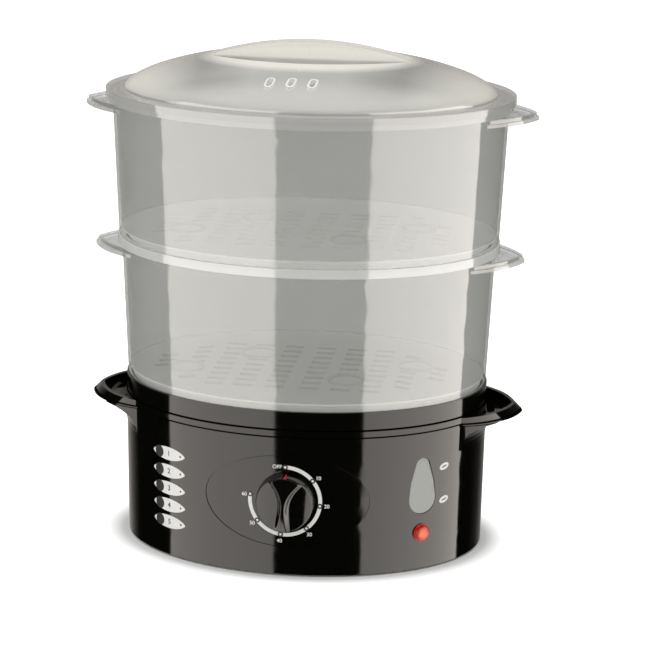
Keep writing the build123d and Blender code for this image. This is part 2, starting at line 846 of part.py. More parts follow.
with BuildPart() as lid:
    add(dome(dome_rise, dome_half))
    add(grip_bar(0))
    add(vent_rims.part)
    add(oval_prism(lid_half, upper_rim_top - lid_skirt, flange_top))
    add(oval_prism(rim_half + lid_clearance, upper_rim_top - lid_skirt, upper_rim_top), mode=Mode.SUBTRACT)
    add(
        oval_ring(
            lid_mouth, lid_mouth - locating_lip_wall, upper_rim_top - locating_lip_depth, upper_rim_top
        )
    )
    add(finger_recesses(0), mode=Mode.SUBTRACT)
    add(lid_hollow.part, mode=Mode.SUBTRACT)
    add(vent_shapes(vent_length, vent_width, flange_top), mode=Mode.SUBTRACT)

# ---- Heater: dished plate clamped up against its seal by a strap
dish_top = basin_floor_height - seal_thickness + dish_height
dish_under = dish_top - heater_gauge
flange_radius = heater_hole_radius + seal_overlap
element_centre = dish_under - element_radius - element_braze
strap_low = strap_top - strap_gauge
fuse_radius = (dish_under - strap_top) / 2
heater_place = (0, heater_y, strap_top)
on_base = (Align.CENTER, Align.CENTER, Align.MIN)

with BuildPart() as heater_plate:
    with Locations(heater_place):
        Cylinder(dish_radius, dish_top - strap_top, align=on_base)
        fillet(heater_plate.edges().group_by(Axis.Z)[-1], radius=dish_edge_radius)
        Cylinder(flange_radius, heater_gauge, align=on_base)
        Cylinder(dish_radius - heater_gauge, dish_under - strap_top, align=on_base, mode=Mode.SUBTRACT)

with BuildPart() as heater_seal:
    with BuildSketch(Plane.XY.offset(strap_top + heater_gauge)):
        with Locations((0, heater_y)):
            Circle(flange_radius)
            Circle(dish_radius + seal_gap, mode=Mode.SUBTRACT)
    extrude(amount=seal_thickness)
    with BuildSketch(Plane.XY.offset(basin_floor_height)):
        with Locations((0, heater_y)):
            Circle(heater_hole_radius - seal_gap)
            Circle(dish_radius + seal_gap, mode=Mode.SUBTRACT)
    extrude(amount=seal_lip)

element_end_turn = radians(90 - (360 - element_sweep) / 2)
element_ends = [
    (side * element_ring_radius * cos(element_end_turn),
     heater_y + element_ring_radius * sin(element_end_turn)) for side in (-1, 1)
]
with BuildPart() as heater_element:
    with Locations(Location((0, heater_y, element_centre), (0, 0, 90 + (360 - element_sweep) / 2))):
        Torus(element_ring_radius, element_radius, major_angle=element_sweep)
    with Locations(*[(x, y, element_centre - element_drop) for x, y in element_ends]):
        Cylinder(element_radius + element_sleeve, dish_under - element_centre + element_drop, align=on_base)
    with Locations(*[(x, y, element_centre - element_drop - element_pin_length) for x, y in element_ends]):
        Cylinder(element_pin_radius, element_pin_length, align=on_base)

with BuildPart() as heater_bracket:
    with BuildSketch(Plane.XY.offset(strap_low)):
        with Locations((0, heater_y)):
            SlotOverall(2 * strap_reach, strap_width)
            Circle(strap_hole_radius, mode=Mode.SUBTRACT)
        with Locations(*strap_boss_places):
            Circle(screw_radius + thread_clearance, mode=Mode.SUBTRACT)
    extrude(amount=strap_gauge)

heater_screws = screws(
    [(x, y, strap_low) for x, y in strap_boss_places], (0, 0, 1), strap_gauge + strap_pilot_depth
)

with BuildPart() as thermostat:
    with Locations(heater_place):
        Cylinder(thermostat_flange_radius, strap_gauge, align=on_base)
        Cylinder(thermostat_radius, dish_under - strap_top, align=on_base)
    with Locations(*[(side * blade_offset, heater_y, strap_top) for side in (-1, 1)]):
        Box(blade_gauge, blade_width, 2 * blade_length)
    with Locations((0, heater_y, dish_under)):
        Box(cut, cut, cut, align=on_base, mode=Mode.SUBTRACT)

with BuildPart() as thermal_fuse:
    with Locations((fuse_x, heater_y, strap_top + fuse_radius)):
        Cylinder(fuse_radius, fuse_length, rotation=(90, 0, 0))
    fillet(thermal_fuse.edges().filter_by(GeomType.CIRCLE), radius=fuse_radius / 4)

with BuildPart() as steam_ring:
    with BuildSketch(Plane.XY.offset(basin_floor_top)):
        with Locations((0, heater_y)):
            Circle(steam_ring_radius)
            Circle(steam_ring_radius - steam_ring_wall, mode=Mode.SUBTRACT)
    extrude(amount=steam_ring_height)
    with Locations((0, heater_y, basin_floor_top)):
        with PolarLocations(steam_ring_radius, steam_ring_notches):
            Box(steam_ring_notch, steam_ring_notch, steam_ring_notch, mode=Mode.SUBTRACT)

# ---- Timer with its bell, shaft and knob
skin_y = -front_depth
knob_back = skin_y - knob_gap
knob_front = knob_back - knob_depth
timer_back = timer_face + timer_plate + timer_depth
screw_seat = skin_y + timer_screw_seat
shaft_front = knob_back - shaft_in_knob
shaft_end = timer_face + shaft_in_timer


def dial_plane(y):
    """Plane across the knob's axis, facing forwards."""
    return Plane(origin=(0, y, dial_centre), x_dir=(1, 0, 0), z_dir=(0, -1, 0))


def shaft_section(grow):
    """D shaped section of the shaft, the flat uppermost."""
    with BuildSketch(Plane.XY, mode=Mode.PRIVATE) as section:
        Circle(shaft_radius + grow)
        with Locations((0, shaft_flat + grow + shaft_radius)):
            Rectangle(4 * shaft_radius, 2 * shaft_radius, mode=Mode.SUBTRACT)
    return section.sketch


with BuildPart() as timer_case:
    with BuildSketch(dial_plane(timer_back)):
        RectangleRounded(timer_width, timer_height, timer_corner)
    extrude(amount=timer_depth)
    with BuildSketch(dial_plane(timer_face + timer_plate)):
        RectangleRounded(timer_plate_width, timer_height, timer_corner)
    extrude(amount=timer_plate)
    with BuildSketch(dial_plane(timer_face)):
        Circle(timer_neck_radius)
    extrude(amount=timer_neck)
    with BuildSketch(dial_plane(shaft_end)):
        Circle(shaft_radius + running_clearance)
    extrude(amount=shaft_in_timer + timer_neck, mode=Mode.SUBTRACT)
    with BuildSketch(dial_plane(screw_seat + timer_screw_length)):
        with Locations(*[(side * timer_screw_spacing / 2, 0) for side in (-1, 1)]):
            Circle(screw_radius + thread_clearance)
    extrude(amount=timer_screw_length, mode=Mode.SUBTRACT)

with BuildPart() as timer_bell:
    with BuildSketch(dial_plane(timer_back + bell_depth)):
        Circle(bell_radius)
    extrude(amount=bell_depth - bell_wall)
    fillet(timer_bell.edges().group_by(Axis.Y)[-1], radius=bell_edge_radius)
    with BuildSketch(dial_plane(timer_back + bell_depth - bell_wall)):
        Circle(bell_radius - bell_wall)
    extrude(amount=bell_depth, mode=Mode.SUBTRACT)
    with BuildSketch(dial_plane(timer_back + bell_depth - bell_wall / 2)):
        Circle(bell_stem_radius)
    extrude(amount=bell_depth - bell_wall / 2)

with BuildPart() as timer_shaft:
    with BuildSketch(dial_plane(shaft_end)):
        Circle(shaft_radius)
    extrude(amount=shaft_end - knob_back)
    with BuildSketch(dial_plane(knob_back)):
        add(shaft_section(0))
    extrude(amount=shaft_in_knob)

timer_screws = screws(
    [(side * timer_screw_spacing / 2, screw_seat, dial_centre) for side in (-1, 1)],
    (0, 1, 0), timer_screw_length,
)

knob_taper = degrees(atan2(knob_back_radius - knob_front_radius, knob_depth))
with BuildPart() as timer_knob:
    with BuildSketch(dial_plane(knob_back)):
        Circle(knob_back_radius)
    extrude(amount=knob_depth, taper=knob_taper)
    fillet(timer_knob.edges().group_by(Axis.Y)[0], radius=knob_edge_radius)
    with BuildSketch(dial_plane(knob_front)):
        with Locations(*[(side * (scallop_radius + grip_waist / 2), -scallop_drop) for side in (-1, 1)]):
            Circle(scallop_radius)
    extrude(amount=-scallop_depth, taper=scallop_draft, mode=Mode.SUBTRACT)
    with BuildSketch(dial_plane(knob_back)):
        Circle(knob_cavity_radius)
        Circle(knob_hub_radius, mode=Mode.SUBTRACT)
    extrude(amount=knob_cavity_depth, mode=Mode.SUBTRACT)
    with BuildSketch(dial_plane(knob_back)):
        add(shaft_section(running_clearance))
    extrude(amount=shaft_in_knob, mode=Mode.SUBTRACT)

# ---- Sight glass and power lamp
with BuildPart() as level_gauge:
    add(teardrop_prism(-gauge_clearance, gauge_recess, gauge_flange_depth))
    add(teardrop_prism(gauge_flange, gauge_flange_depth, gauge_flange_depth + gauge_flange_thickness))
    add(
        teardrop_prism(
            -gauge_bore_inset, gauge_recess + gauge_lens, gauge_flange_depth + gauge_flange_thickness
        ),
        mode=Mode.SUBTRACT,
    )

with BuildPart() as gauge_seal:
    add(
        teardrop_prism(
            gauge_boss_margin, gauge_flange_depth + gauge_flange_thickness + seal_play,
            gauge_boss_front - seal_play,
        )
    )
    add(
        teardrop_prism(-gauge_bore_inset, gauge_flange_depth, gauge_boss_front + gauge_flange_thickness),
        mode=Mode.SUBTRACT,
    )

holder_end = lamp_neck_end + holder_thickness
lamp_axis = Axis((0, 0, 0), front_plane(lamp_angle, lamp_height).z_dir)
with BuildPart() as lamp_lens:
    add(lamp_disc(lamp_dome_radius, -lamp_rim - lamp_dome, -lamp_rim))
    fillet(lamp_lens.edges().group_by(lamp_axis)[-1], radius=lamp_dome_fillet)
    add(lamp_disc(lamp_rim_radius, -lamp_rim, -bushing_clearance))
    add(lamp_disc(lamp_hole_radius, -lamp_rim, lamp_neck_end))
    add(lamp_disc(lamp_bore_radius, -lamp_bore_reach, lamp_neck_end), mode=Mode.SUBTRACT)

with BuildPart() as lamp_holder:
    add(lamp_disc(lamp_flange_radius, lamp_flange_depth, holder_end))
    add(lamp_disc(lamp_hole_radius + running_clearance, lamp_flange_depth, lamp_neck_end), mode=Mode.SUBTRACT)
    add(lamp_disc(neon_radius + running_clearance, lamp_flange_depth, holder_end), mode=Mode.SUBTRACT)

with BuildPart() as neon_lamp:
    add(lamp_disc(neon_radius, holder_end - neon_length, holder_end))
    fillet(neon_lamp.edges().group_by(lamp_axis)[-1], radius=neon_radius / 2)

# ---- Mains inlet, terminal block and clamp
inlet_y = housing_half(cord_height - foot_lift) - oval_step
flange_y = inlet_y + bushing_clearance
clip_y = inlet_y - housing_wall - bushing_clip_gap
bushing_end = clip_y - bushing_flange


def cord_plane(y):
    """Plane across the mains lead's axis, facing backwards."""
    return Plane(origin=(0, y, cord_height), x_dir=(-1, 0, 0), z_dir=(0, 1, 0))


with BuildPart() as cord_bushing:
    with BuildSketch(cord_plane(flange_y)):
        Circle(bushing_flange_radius)
    extrude(amount=bushing_flange)
    with BuildSketch(cord_plane(flange_y + bushing_flange)):
        Circle(bushing_neck_radius)
    extrude(amount=boot_length, taper=boot_taper)
    with BuildSketch(cord_plane(clip_y)):
        Circle(bushing_neck_radius)
    extrude(amount=flange_y - clip_y)
    with BuildSketch(cord_plane(bushing_end)):
        Circle(bushing_clip_radius)
    extrude(amount=bushing_flange)
    with BuildSketch(cord_plane(bushing_end)):
        Circle(cord_bore_radius)
    extrude(amount=flange_y + bushing_flange + boot_length - bushing_end, mode=Mode.SUBTRACT)

saddle_low = cord_height - cord_bore_radius
clamp_screw_places = [(side * clamp_screw_x, clamp_y) for side in (-1, 1)]
with BuildPart() as cord_clamp:
    with BuildSketch(cord_plane(clamp_y - clamp_width / 2)):
        Circle(cord_bore_radius + clamp_arch_wall)
        with Locations((0, clamp_tab / 2 - cord_bore_radius)):
            Rectangle(2 * clamp_half_span, clamp_tab)
        Circle(cord_bore_radius, mode=Mode.SUBTRACT)
        with Locations((0, -cord_bore_radius / 2)):
            Rectangle(2 * cord_bore_radius, cord_bore_radius, mode=Mode.SUBTRACT)
        with Locations((0, -cord_bore_radius - cut / 2)):
            Rectangle(cut, cut, mode=Mode.SUBTRACT)
    extrude(amount=clamp_width)
    with BuildSketch(Plane.XY.offset(saddle_low)):
        with Locations(*clamp_screw_places):
            Circle(screw_radius + thread_clearance)
    extrude(amount=clamp_tab, mode=Mode.SUBTRACT)

cord_clamp_screws = screws(
    [(x, y, saddle_low + clamp_tab) for x, y in clamp_screw_places], (0, 0, -1), clamp_screw_length
)

with BuildPart() as terminal_block:
    with Locations((terminal_x, terminal_y, plate_top)):
        Box(*terminal_size, align=on_base)
    fillet(terminal_block.edges().filter_by(Axis.Z), radius=screw_radius)
    with Locations(*[(terminal_x + pole * terminal_pitch, terminal_y, bore_height) for pole in poles]):
        Cylinder(terminal_bore_radius, terminal_size[1], rotation=(90, 0, 0), mode=Mode.SUBTRACT)
        Cylinder(terminal_bore_radius, terminal_size[2], align=on_base, mode=Mode.SUBTRACT)

# ---- Base plate with its air slots, clamp seat, screws and feet
plate_half = housing_low_half - housing_wall - plate_clearance
foot_places = [(sx * foot_x, sy * foot_y) for sx in (-1, 1) for sy in (-1, 1)]
with BuildPart() as base_plate:
    add(oval_prism(plate_half, plate_height, plate_top))
    with Locations((0, clamp_y, plate_top)):
        Box(2 * clamp_half_span, clamp_width, saddle_low - plate_top, align=on_base)
    with BuildSketch(Plane.XY.offset(saddle_low)):
        with Locations(*clamp_screw_places):
            Circle(screw_radius + thread_clearance)
    extrude(amount=clamp_tab - clamp_screw_length, mode=Mode.SUBTRACT)
    with BuildSketch(Plane.XY.offset(plate_height)):
        for side in (-1, 1):
            with Locations((side * air_slot_x, 0)):
                with GridLocations(0, air_slot_pitch, 1, air_slot_count):
                    SlotOverall(air_slot_length, air_slot_width)
        with Locations(*post_places):
            Circle(screw_radius + thread_clearance)
        with Locations(*foot_places):
            Circle(foot_stem_radius + foot_stem_clearance)
    extrude(amount=plate_thickness, mode=Mode.SUBTRACT)

base_screws = screws([(x, y, plate_height) for x, y in post_places], (0, 0, 1), base_screw_length)


def foot_pad(x, y):
    """Rubber foot: pad, stem through the base plate and the bead that keeps it there."""
    with BuildPart() as pad:
        with Locations((x, y, 0)):
            Cylinder(foot_radius, plate_height, align=on_base)
        fillet(pad.edges().group_by(Axis.Z)[0], radius=foot_edge_radius)
        with Locations((x, y, plate_height)):
            Cylinder(foot_stem_radius, plate_thickness, align=on_base)
        with BuildSketch(Plane.XY.offset(plate_top)):
            with Locations((x, y)):
                Circle(foot_bead_radius)
        extrude(amount=foot_bead_height, taper=screw_head_taper)
    return pad.part


# ---- Export, one file for each piece
pieces = {
    "lid": lid.part,
    "upper_bowl": upper_bowl,
    "lower_bowl": lower_bowl,
    "drip_tray": drip_tray.part,
    "water_tank": water_tank.part,
    "base_housing": base_housing.part,
    "timer_knob": timer_knob.part,
    "level_gauge": level_gauge.part,
    "gauge_seal": gauge_seal.part,
    "lamp_lens": lamp_lens.part,
    "lamp_holder": lamp_holder.part,
    "neon_lamp": neon_lamp.part,
    "steam_ring": steam_ring.part,
    "heater_plate": heater_plate.part,
    "heater_seal": heater_seal.part,
    "heater_element": heater_element.part,
    "heater_bracket": heater_bracket.part,
    "heater_screws": heater_screws,
    "thermostat": thermostat.part,
    "thermal_fuse": thermal_fuse.part,
    "timer_case": timer_case.part,
    "timer_bell": timer_bell.part,
    "timer_shaft": timer_shaft.part,
    "timer_screws": timer_screws,
    "terminal_block": terminal_block.part,
    "cord_bushing": cord_bushing.part,
    "cord_clamp": cord_clamp.part,
    "cord_clamp_screws": cord_clamp_screws,
    "base_plate": base_plate.part,
    "base_screws": base_screws,
}
for number, (x, y) in enumerate(foot_places, start=1):
    pieces[f"foot_pad_{number}"] = foot_pad(x, y)

for name, piece in pieces.items():
    piece.label = name
    export_step(piece, f"parts/{name}.step")
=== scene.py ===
import math

import bmesh
import bpy
import numpy as np
from mathutils import Matrix, Vector


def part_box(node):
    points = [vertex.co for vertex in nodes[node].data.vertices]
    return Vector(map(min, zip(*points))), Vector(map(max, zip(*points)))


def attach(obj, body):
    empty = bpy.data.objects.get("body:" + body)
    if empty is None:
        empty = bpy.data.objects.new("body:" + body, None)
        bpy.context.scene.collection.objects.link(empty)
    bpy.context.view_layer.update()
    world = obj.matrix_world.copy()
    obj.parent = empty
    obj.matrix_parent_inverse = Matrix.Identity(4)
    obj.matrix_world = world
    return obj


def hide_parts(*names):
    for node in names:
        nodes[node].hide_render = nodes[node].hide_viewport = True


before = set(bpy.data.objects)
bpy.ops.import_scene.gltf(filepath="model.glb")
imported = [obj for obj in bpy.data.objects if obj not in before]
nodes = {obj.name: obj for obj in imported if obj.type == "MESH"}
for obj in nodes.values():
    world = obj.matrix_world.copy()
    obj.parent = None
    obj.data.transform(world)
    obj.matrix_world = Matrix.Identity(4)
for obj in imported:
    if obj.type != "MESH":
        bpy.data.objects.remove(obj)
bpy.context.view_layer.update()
print("frame loaded:", len(nodes), "nodes")

# the viewpoint, as a turn round the stack: degrees, metres, and millimetres for lens and sensor
viewpoint = {
    "azimuth": 7.49,
    "elevation": 15.30,
    "roll": 0.944,
    "distance": 1.7042,
    "aimSide": 0.0108,
    "aimHeight": 0.15131,
    "lens": 134.3,
    "sensor": 36.0,
    "near": 0.05,
    "far": 40.0,
}

# every oval of the stack is this much less deep than wide, in half widths
ovalStep = 0.032


def placeCamera(view):
    az, el, roll = (math.radians(view[k]) for k in ("azimuth", "elevation", "roll"))
    back = Vector((math.sin(az) * math.cos(el), -math.cos(az) * math.cos(el), math.sin(el)))
    side = Vector((math.cos(az), math.sin(az), 0))
    up = back.cross(side)
    camRight = side * math.cos(roll) + up * math.sin(roll)
    camUp = up * math.cos(roll) - side * math.sin(roll)
    where = Vector((0, 0, view["aimHeight"])) + side * view["aimSide"] + back * view["distance"]
    data = bpy.data.cameras.new("camera")
    data.lens = view["lens"]
    data.sensor_width = view["sensor"]
    data.clip_start, data.clip_end = view["near"], view["far"]
    camera = bpy.data.objects.new("camera", data)
    turn = Matrix((camRight, camUp, back)).transposed().to_4x4()
    camera.matrix_world = Matrix.Translation(where) @ turn
    bpy.context.scene.collection.objects.link(camera)
    bpy.context.scene.camera = camera


placeCamera(viewpoint)
print("camera placed")


# a node tree is written as a few short calls
def newMaterial(name):
    material = bpy.data.materials.new(name)
    material.use_nodes = True
    tree = material.node_tree
    shader = tree.nodes["Principled BSDF"]
    return material, tree, shader


def addNode(tree, kind, **settings):
    node = tree.nodes.new(kind)
    for key, value in settings.items():
        if key in node.inputs:
            node.inputs[key].default_value = value
        else:
            setattr(node, key, value)
    return node


def objectPoint(tree):
    return addNode(tree, "ShaderNodeTexCoord").outputs["Object"]


def noiseField(tree, size, detail=3.0, rough=0.5, stretch=(1, 1, 1)):
    # fractal noise whose blobs are about "size" metres across, stretched along an axis
    mapping = addNode(tree, "ShaderNodeMapping")
    mapping.inputs["Scale"].default_value = stretch
    tree.links.new(objectPoint(tree), mapping.inputs["Vector"])
    noise = addNode(tree, "ShaderNodeTexNoise")
    noise.inputs["Scale"].default_value = 1.0 / size
    noise.inputs["Detail"].default_value = detail
    noise.inputs["Roughness"].default_value = rough
    tree.links.new(mapping.outputs["Vector"], noise.inputs["Vector"])
    return noise.outputs["Fac"]


def spread(tree, field, low, high, fromLow=0.3, fromHigh=0.7, smooth=False):
    # carries a field from one range to another; noise lies mostly within the first range given here
    ranger = addNode(tree, "ShaderNodeMapRange", interpolation_type="SMOOTHSTEP" if smooth else "LINEAR")
    for key, value in (("From Min", fromLow), ("From Max", fromHigh), ("To Min", low), ("To Max", high)):
        ranger.inputs[key].default_value = value
    tree.links.new(field, ranger.inputs["Value"])
    return ranger.outputs["Result"]


def blendColours(tree, field, first, second):
    # each side is a colour or another node's output
    mix = addNode(tree, "ShaderNodeMix", data_type="RGBA")
    sides = [socket for socket in mix.inputs if socket.type == "RGBA"]
    for socket, value in zip(sides, (first, second)):
        if isinstance(value, tuple):
            socket.default_value = (*value, 1)
        else:
            tree.links.new(value, socket)
    tree.links.new(field, mix.inputs["Factor"])
    return [socket for socket in mix.outputs if socket.type == "RGBA"][0]


def mathNode(tree, operation, first, second):
    # one arithmetic step; each side is a number or another node's output
    node = addNode(tree, "ShaderNodeMath", operation=operation)
    for socket, value in zip(node.inputs, (first, second)):
        if isinstance(value, (int, float)):
            socket.default_value = value
        else:
            tree.links.new(value, socket)
    return node.outputs[0]


def mixShaders(tree, share, first, second):
    mix = addNode(tree, "ShaderNodeMixShader")
    if isinstance(share, (int, float)):
        mix.inputs[0].default_value = share
    else:
        tree.links.new(share, mix.inputs[0])
    tree.links.new(first, mix.inputs[1])
    tree.links.new(second, mix.inputs[2])
    return mix.outputs[0]


def addBump(tree, shader, field, height, strength=1.0):
    bump = addNode(tree, "ShaderNodeBump")
    bump.inputs["Strength"].default_value = strength
    bump.inputs["Distance"].default_value = height
    tree.links.new(field, bump.inputs["Height"])
    tree.links.new(bump.outputs["Normal"], shader.inputs["Normal"])


# milky see-through polypropylene: bowls and lid, whiter where the moulding is thick at rims and ears; the
# bowls' floors and some of the lid's shades below are painted light and painted reflection
clearPlastic = {
    "wall": (0.292, 0.297, 0.274),
    # painted light: the bowls' floors are near-white as if light from above falls on them
    "floor": (0.98, 0.98, 0.95),
    "rim": (0.76, 0.765, 0.74),
    "ear": (0.40, 0.40, 0.38),
    "wallCover": 0.42,
    "floorCover": 0.96,
    "rimCover": 0.62,
    # on the lid, the dark upper dome, the light ends and the near-white grip are painted reflection and
    # painted light
    "lidLow": (0.61, 0.605, 0.57),
    "lidPaintedDarkReflection": (0.33, 0.33, 0.31),
    "lidVent": (0.92, 0.92, 0.88),
    "lidPaintedEndReflection": (0.80, 0.78, 0.71),
    "lidGripPaintedLight": (0.97, 0.95, 0.875),
    "lidFlange": (0.52, 0.515, 0.50),
    "lidLedge": (0.36, 0.355, 0.34),
    "lidCover": 0.76,
    "backlit": 0.30,
    "lampShare": 0.27,
    "gloss": 0.093,
    "mostGloss": 0.70,
    "roughness": 0.06,
    "smear": 0.01,
    "smearSize": 0.03,
    "cloudSize": 0.08,
    "rippleSize": 0.06,
    "rippleHeight": 0.000006,
}
# where a bowl's shades change: heights from its foot or rim, half widths at its foot, ears from their tips
bowlForm = {
    "foot": 0.0060,
    "floorTop": 0.0040,
    "floorPast": (0.001, 0.0015),
    "rim": 0.0068,
    "rimPast": 0.001,
    "half": {"lower_bowl": 0.126, "upper_bowl": 0.132},
    "intoWall": 0.001,
    "grow": 0.0042,
    "ovalSoft": 0.004,
    "rimShare": {"lower_bowl": 1.0, "upper_bowl": 0.55},
    "earFrom": 0.017,
    "earTo": 0.006,
    "cloudShade": 0.94,
}


def objectAxes(tree):
    parts = addNode(tree, "ShaderNodeSeparateXYZ")
    tree.links.new(objectPoint(tree), parts.inputs[0])
    return parts.outputs["X"], parts.outputs["Y"], parts.outputs["Z"]


def between(tree, field, low, high, soft=0.0006, smooth=False):
    # 1 between two limits, with soft edges
    rise = spread(tree, field, 0.0, 1.0, low - soft, low + soft, smooth)
    fall = spread(tree, field, 1.0, 0.0, high - soft, high + soft, smooth)
    return mathNode(tree, "MULTIPLY", rise, fall)


def addSquares(tree, first, second):
    # first^2 + second^2
    squares = [mathNode(tree, "POWER", part, 2.0) for part in (first, second)]
    return mathNode(tree, "ADD", *squares)


def outsideOval(tree, half, soft):
    # 1 where (x / half)^2 + (y / (half - step))^2 is over 1; half is a field
    x, y, _ = objectAxes(tree)
    deep = mathNode(tree, "SUBTRACT", half, ovalStep)
    level = addSquares(tree, mathNode(tree, "DIVIDE", x, half), mathNode(tree, "DIVIDE", y, deep))
    return spread(tree, level, 0.0, 1.0, 1 - soft, 1 + soft)


def edgeGloss(tree, facingOn):
    # Schlick's curve for a clear coat, the same from both sides: F0 + (1 - F0) facing^5
    facing = addNode(tree, "ShaderNodeLayerWeight", Blend=0.5).outputs["Facing"]
    rise = mathNode(tree, "POWER", facing, 5.0)
    curve = mathNode(tree, "ADD", mathNode(tree, "MULTIPLY", rise, 1 - facingOn), facingOn)
    return mathNode(tree, "MINIMUM", curve, clearPlastic["mostGloss"])


def milkyShell(name, makeColour):
    # a clear coat over a skin that is part see-through and part scattering, some of it lit from behind
    material, tree, _ = newMaterial(name)
    tree.nodes.clear()
    colour, cover, outside = makeColour(tree)
    front = addNode(tree, "ShaderNodeBsdfDiffuse")
    behind = addNode(tree, "ShaderNodeBsdfTranslucent")
    tree.links.new(colour, front.inputs["Color"])
    tree.links.new(colour, behind.inputs["Color"])
    scatter = mixShaders(tree, clearPlastic["backlit"], front.outputs[0], behind.outputs[0])
    path = addNode(tree, "ShaderNodeLightPath")  # lamps shine through the thin walls more easily
    lit = mathNode(tree, "MAXIMUM", path.outputs["Is Shadow Ray"], path.outputs["Is Diffuse Ray"])
    dim = mathNode(tree, "SUBTRACT", 1.0, mathNode(tree, "MULTIPLY", lit, 1 - clearPlastic["lampShare"]))
    clear = addNode(tree, "ShaderNodeBsdfTransparent")
    wall = mixShaders(tree, mathNode(tree, "MULTIPLY", cover, dim), clear.outputs[0], scatter)
    gloss = addNode(tree, "ShaderNodeBsdfGlossy", Color=(1, 1, 1, 1))
    rough, smear = clearPlastic["roughness"], clearPlastic["smear"]
    smears = noiseField(tree, clearPlastic["smearSize"], detail=1)
    tree.links.new(spread(tree, smears, rough - smear, rough + smear), gloss.inputs["Roughness"])
    bump = addNode(tree, "ShaderNodeBump")
    bump.inputs["Distance"].default_value = clearPlastic["rippleHeight"]
    tree.links.new(noiseField(tree, clearPlastic["rippleSize"], detail=1), bump.inputs["Height"])
    tree.links.new(bump.outputs["Normal"], gloss.inputs["Normal"])
    share = mathNode(tree, "MULTIPLY", edgeGloss(tree, clearPlastic["gloss"]), outside)
    coated = mixShaders(tree, mathNode(tree, "MULTIPLY", share, dim), wall, gloss.outputs[0])
    tree.links.new(coated, addNode(tree, "ShaderNodeOutputMaterial").inputs["Surface"])
    return material


def bowlPlastic(name, node):
    # floor: up to its top face and inside the wall, near-white as painted light from above; rim: the last few
    # millimetres; ear: both ends of the rim
    d = bowlForm
    low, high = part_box(node)
    seat = low.z + d["foot"]
    half = d["half"][node] - d["intoWall"]
    below, above = d["floorPast"]

    def makeColour(tree):
        x, _, height = objectAxes(tree)
        wall = spread(tree, height, half, half + d["grow"], seat, high.z)
        outside = outsideOval(tree, wall, d["ovalSoft"])
        floor = between(tree, height, seat - below, seat + d["floorTop"] + above)
        floor = mathNode(tree, "MULTIPLY", floor, mathNode(tree, "SUBTRACT", 1.0, outside))
        rim = between(tree, height, high.z - d["rim"], high.z + d["rimPast"])
        ear = mathNode(tree, "ABSOLUTE", x, 0.0)
        ear = spread(tree, ear, 0.0, 1.0, high.x - d["earFrom"], high.x - d["earTo"])
        clouds = noiseField(tree, clearPlastic["cloudSize"], detail=2)
        shade = tuple(d["cloudShade"] * c for c in clearPlastic["wall"])
        colour = blendColours(tree, clouds, clearPlastic["wall"], shade)
        # the lid's skirt shades the upper bowl's rim
        rimShade = mathNode(tree, "MULTIPLY", rim, d["rimShare"][node])
        colour = blendColours(tree, rimShade, colour, clearPlastic["rim"])
        colour = blendColours(tree, ear, colour, clearPlastic["ear"])
        # painted light: the floor is blended to near-white as if lit from above
        colour = blendColours(tree, floor, colour, clearPlastic["floor"])
        cover = spread(tree, rim, clearPlastic["wallCover"], clearPlastic["rimCover"], 0.0, 1.0)
        extra = mathNode(tree, "MULTIPLY", floor, clearPlastic["floorCover"] - clearPlastic["wallCover"])
        return colour, mathNode(tree, "ADD", cover, extra), outside

    return milkyShell(name, makeColour)


# whiter rings round the lid's three steam vents, slots that lean a little off the short way across
vents = {
    "places": (-0.0169, -0.0027, 0.0115),
    "back": 0.073,
    "lean": 81.0,
    "run": 0.0025,
    "inner": 0.0018,
    "outer": 0.0031,
    "soft": 0.0002,
}


def turned(tree, x, y, c, s):
    # (x c + y s, y c - x s)
    products = [mathNode(tree, "MULTIPLY", *pair) for pair in ((x, c), (y, s), (y, c), (x, s))]
    return mathNode(tree, "ADD", *products[:2]), mathNode(tree, "SUBTRACT", *products[2:])


def nearVents(tree, d):
    # 1 in a ring round each slot: the distance from the slot's middle line lies between the two radii
    x, y, _ = objectAxes(tree)
    c, s = math.cos(math.radians(d["lean"])), math.sin(math.radians(d["lean"]))
    deep = mathNode(tree, "ADD", y, d["back"])
    found = 0.0
    for place in d["places"]:
        side = mathNode(tree, "SUBTRACT", x, place)
        along, across = turned(tree, side, deep, c, s)
        reach = mathNode(tree, "SUBTRACT", mathNode(tree, "ABSOLUTE", along, 0.0), d["run"])
        past = mathNode(tree, "MAXIMUM", reach, 0.0)
        across = mathNode(tree, "ABSOLUTE", across, 0.0)
        away = mathNode(tree, "SQRT", addSquares(tree, past, across), 0.0)
        found = mathNode(tree, "MAXIMUM", found, between(tree, away, d["inner"], d["outer"], d["soft"]))
    return found


# where the lid's shades change: heights over the upper bowl's rim, the flange or under the grip's crest,
# and distances to either side
lidForm = {
    "flange": 0.0026,
    "flangeFade": 0.0012,
    "ledgeUnder": 0.0006,
    "ledgeOver": 0.0004,
    "gripFrom": 0.0125,
    "gripTo": 0.0105,
    "climbFrom": 0.006,
    "climbTo": 0.014,
    "middleClimb": 0.15,
    "sideFrom": 0.030,
    "sideTo": 0.065,
    "endsFrom": 0.070,
    "endsTo": 0.122,
    "cloud": 0.06,
    "seamHalf": 0.0004,
    "soft": 0.0002,
}


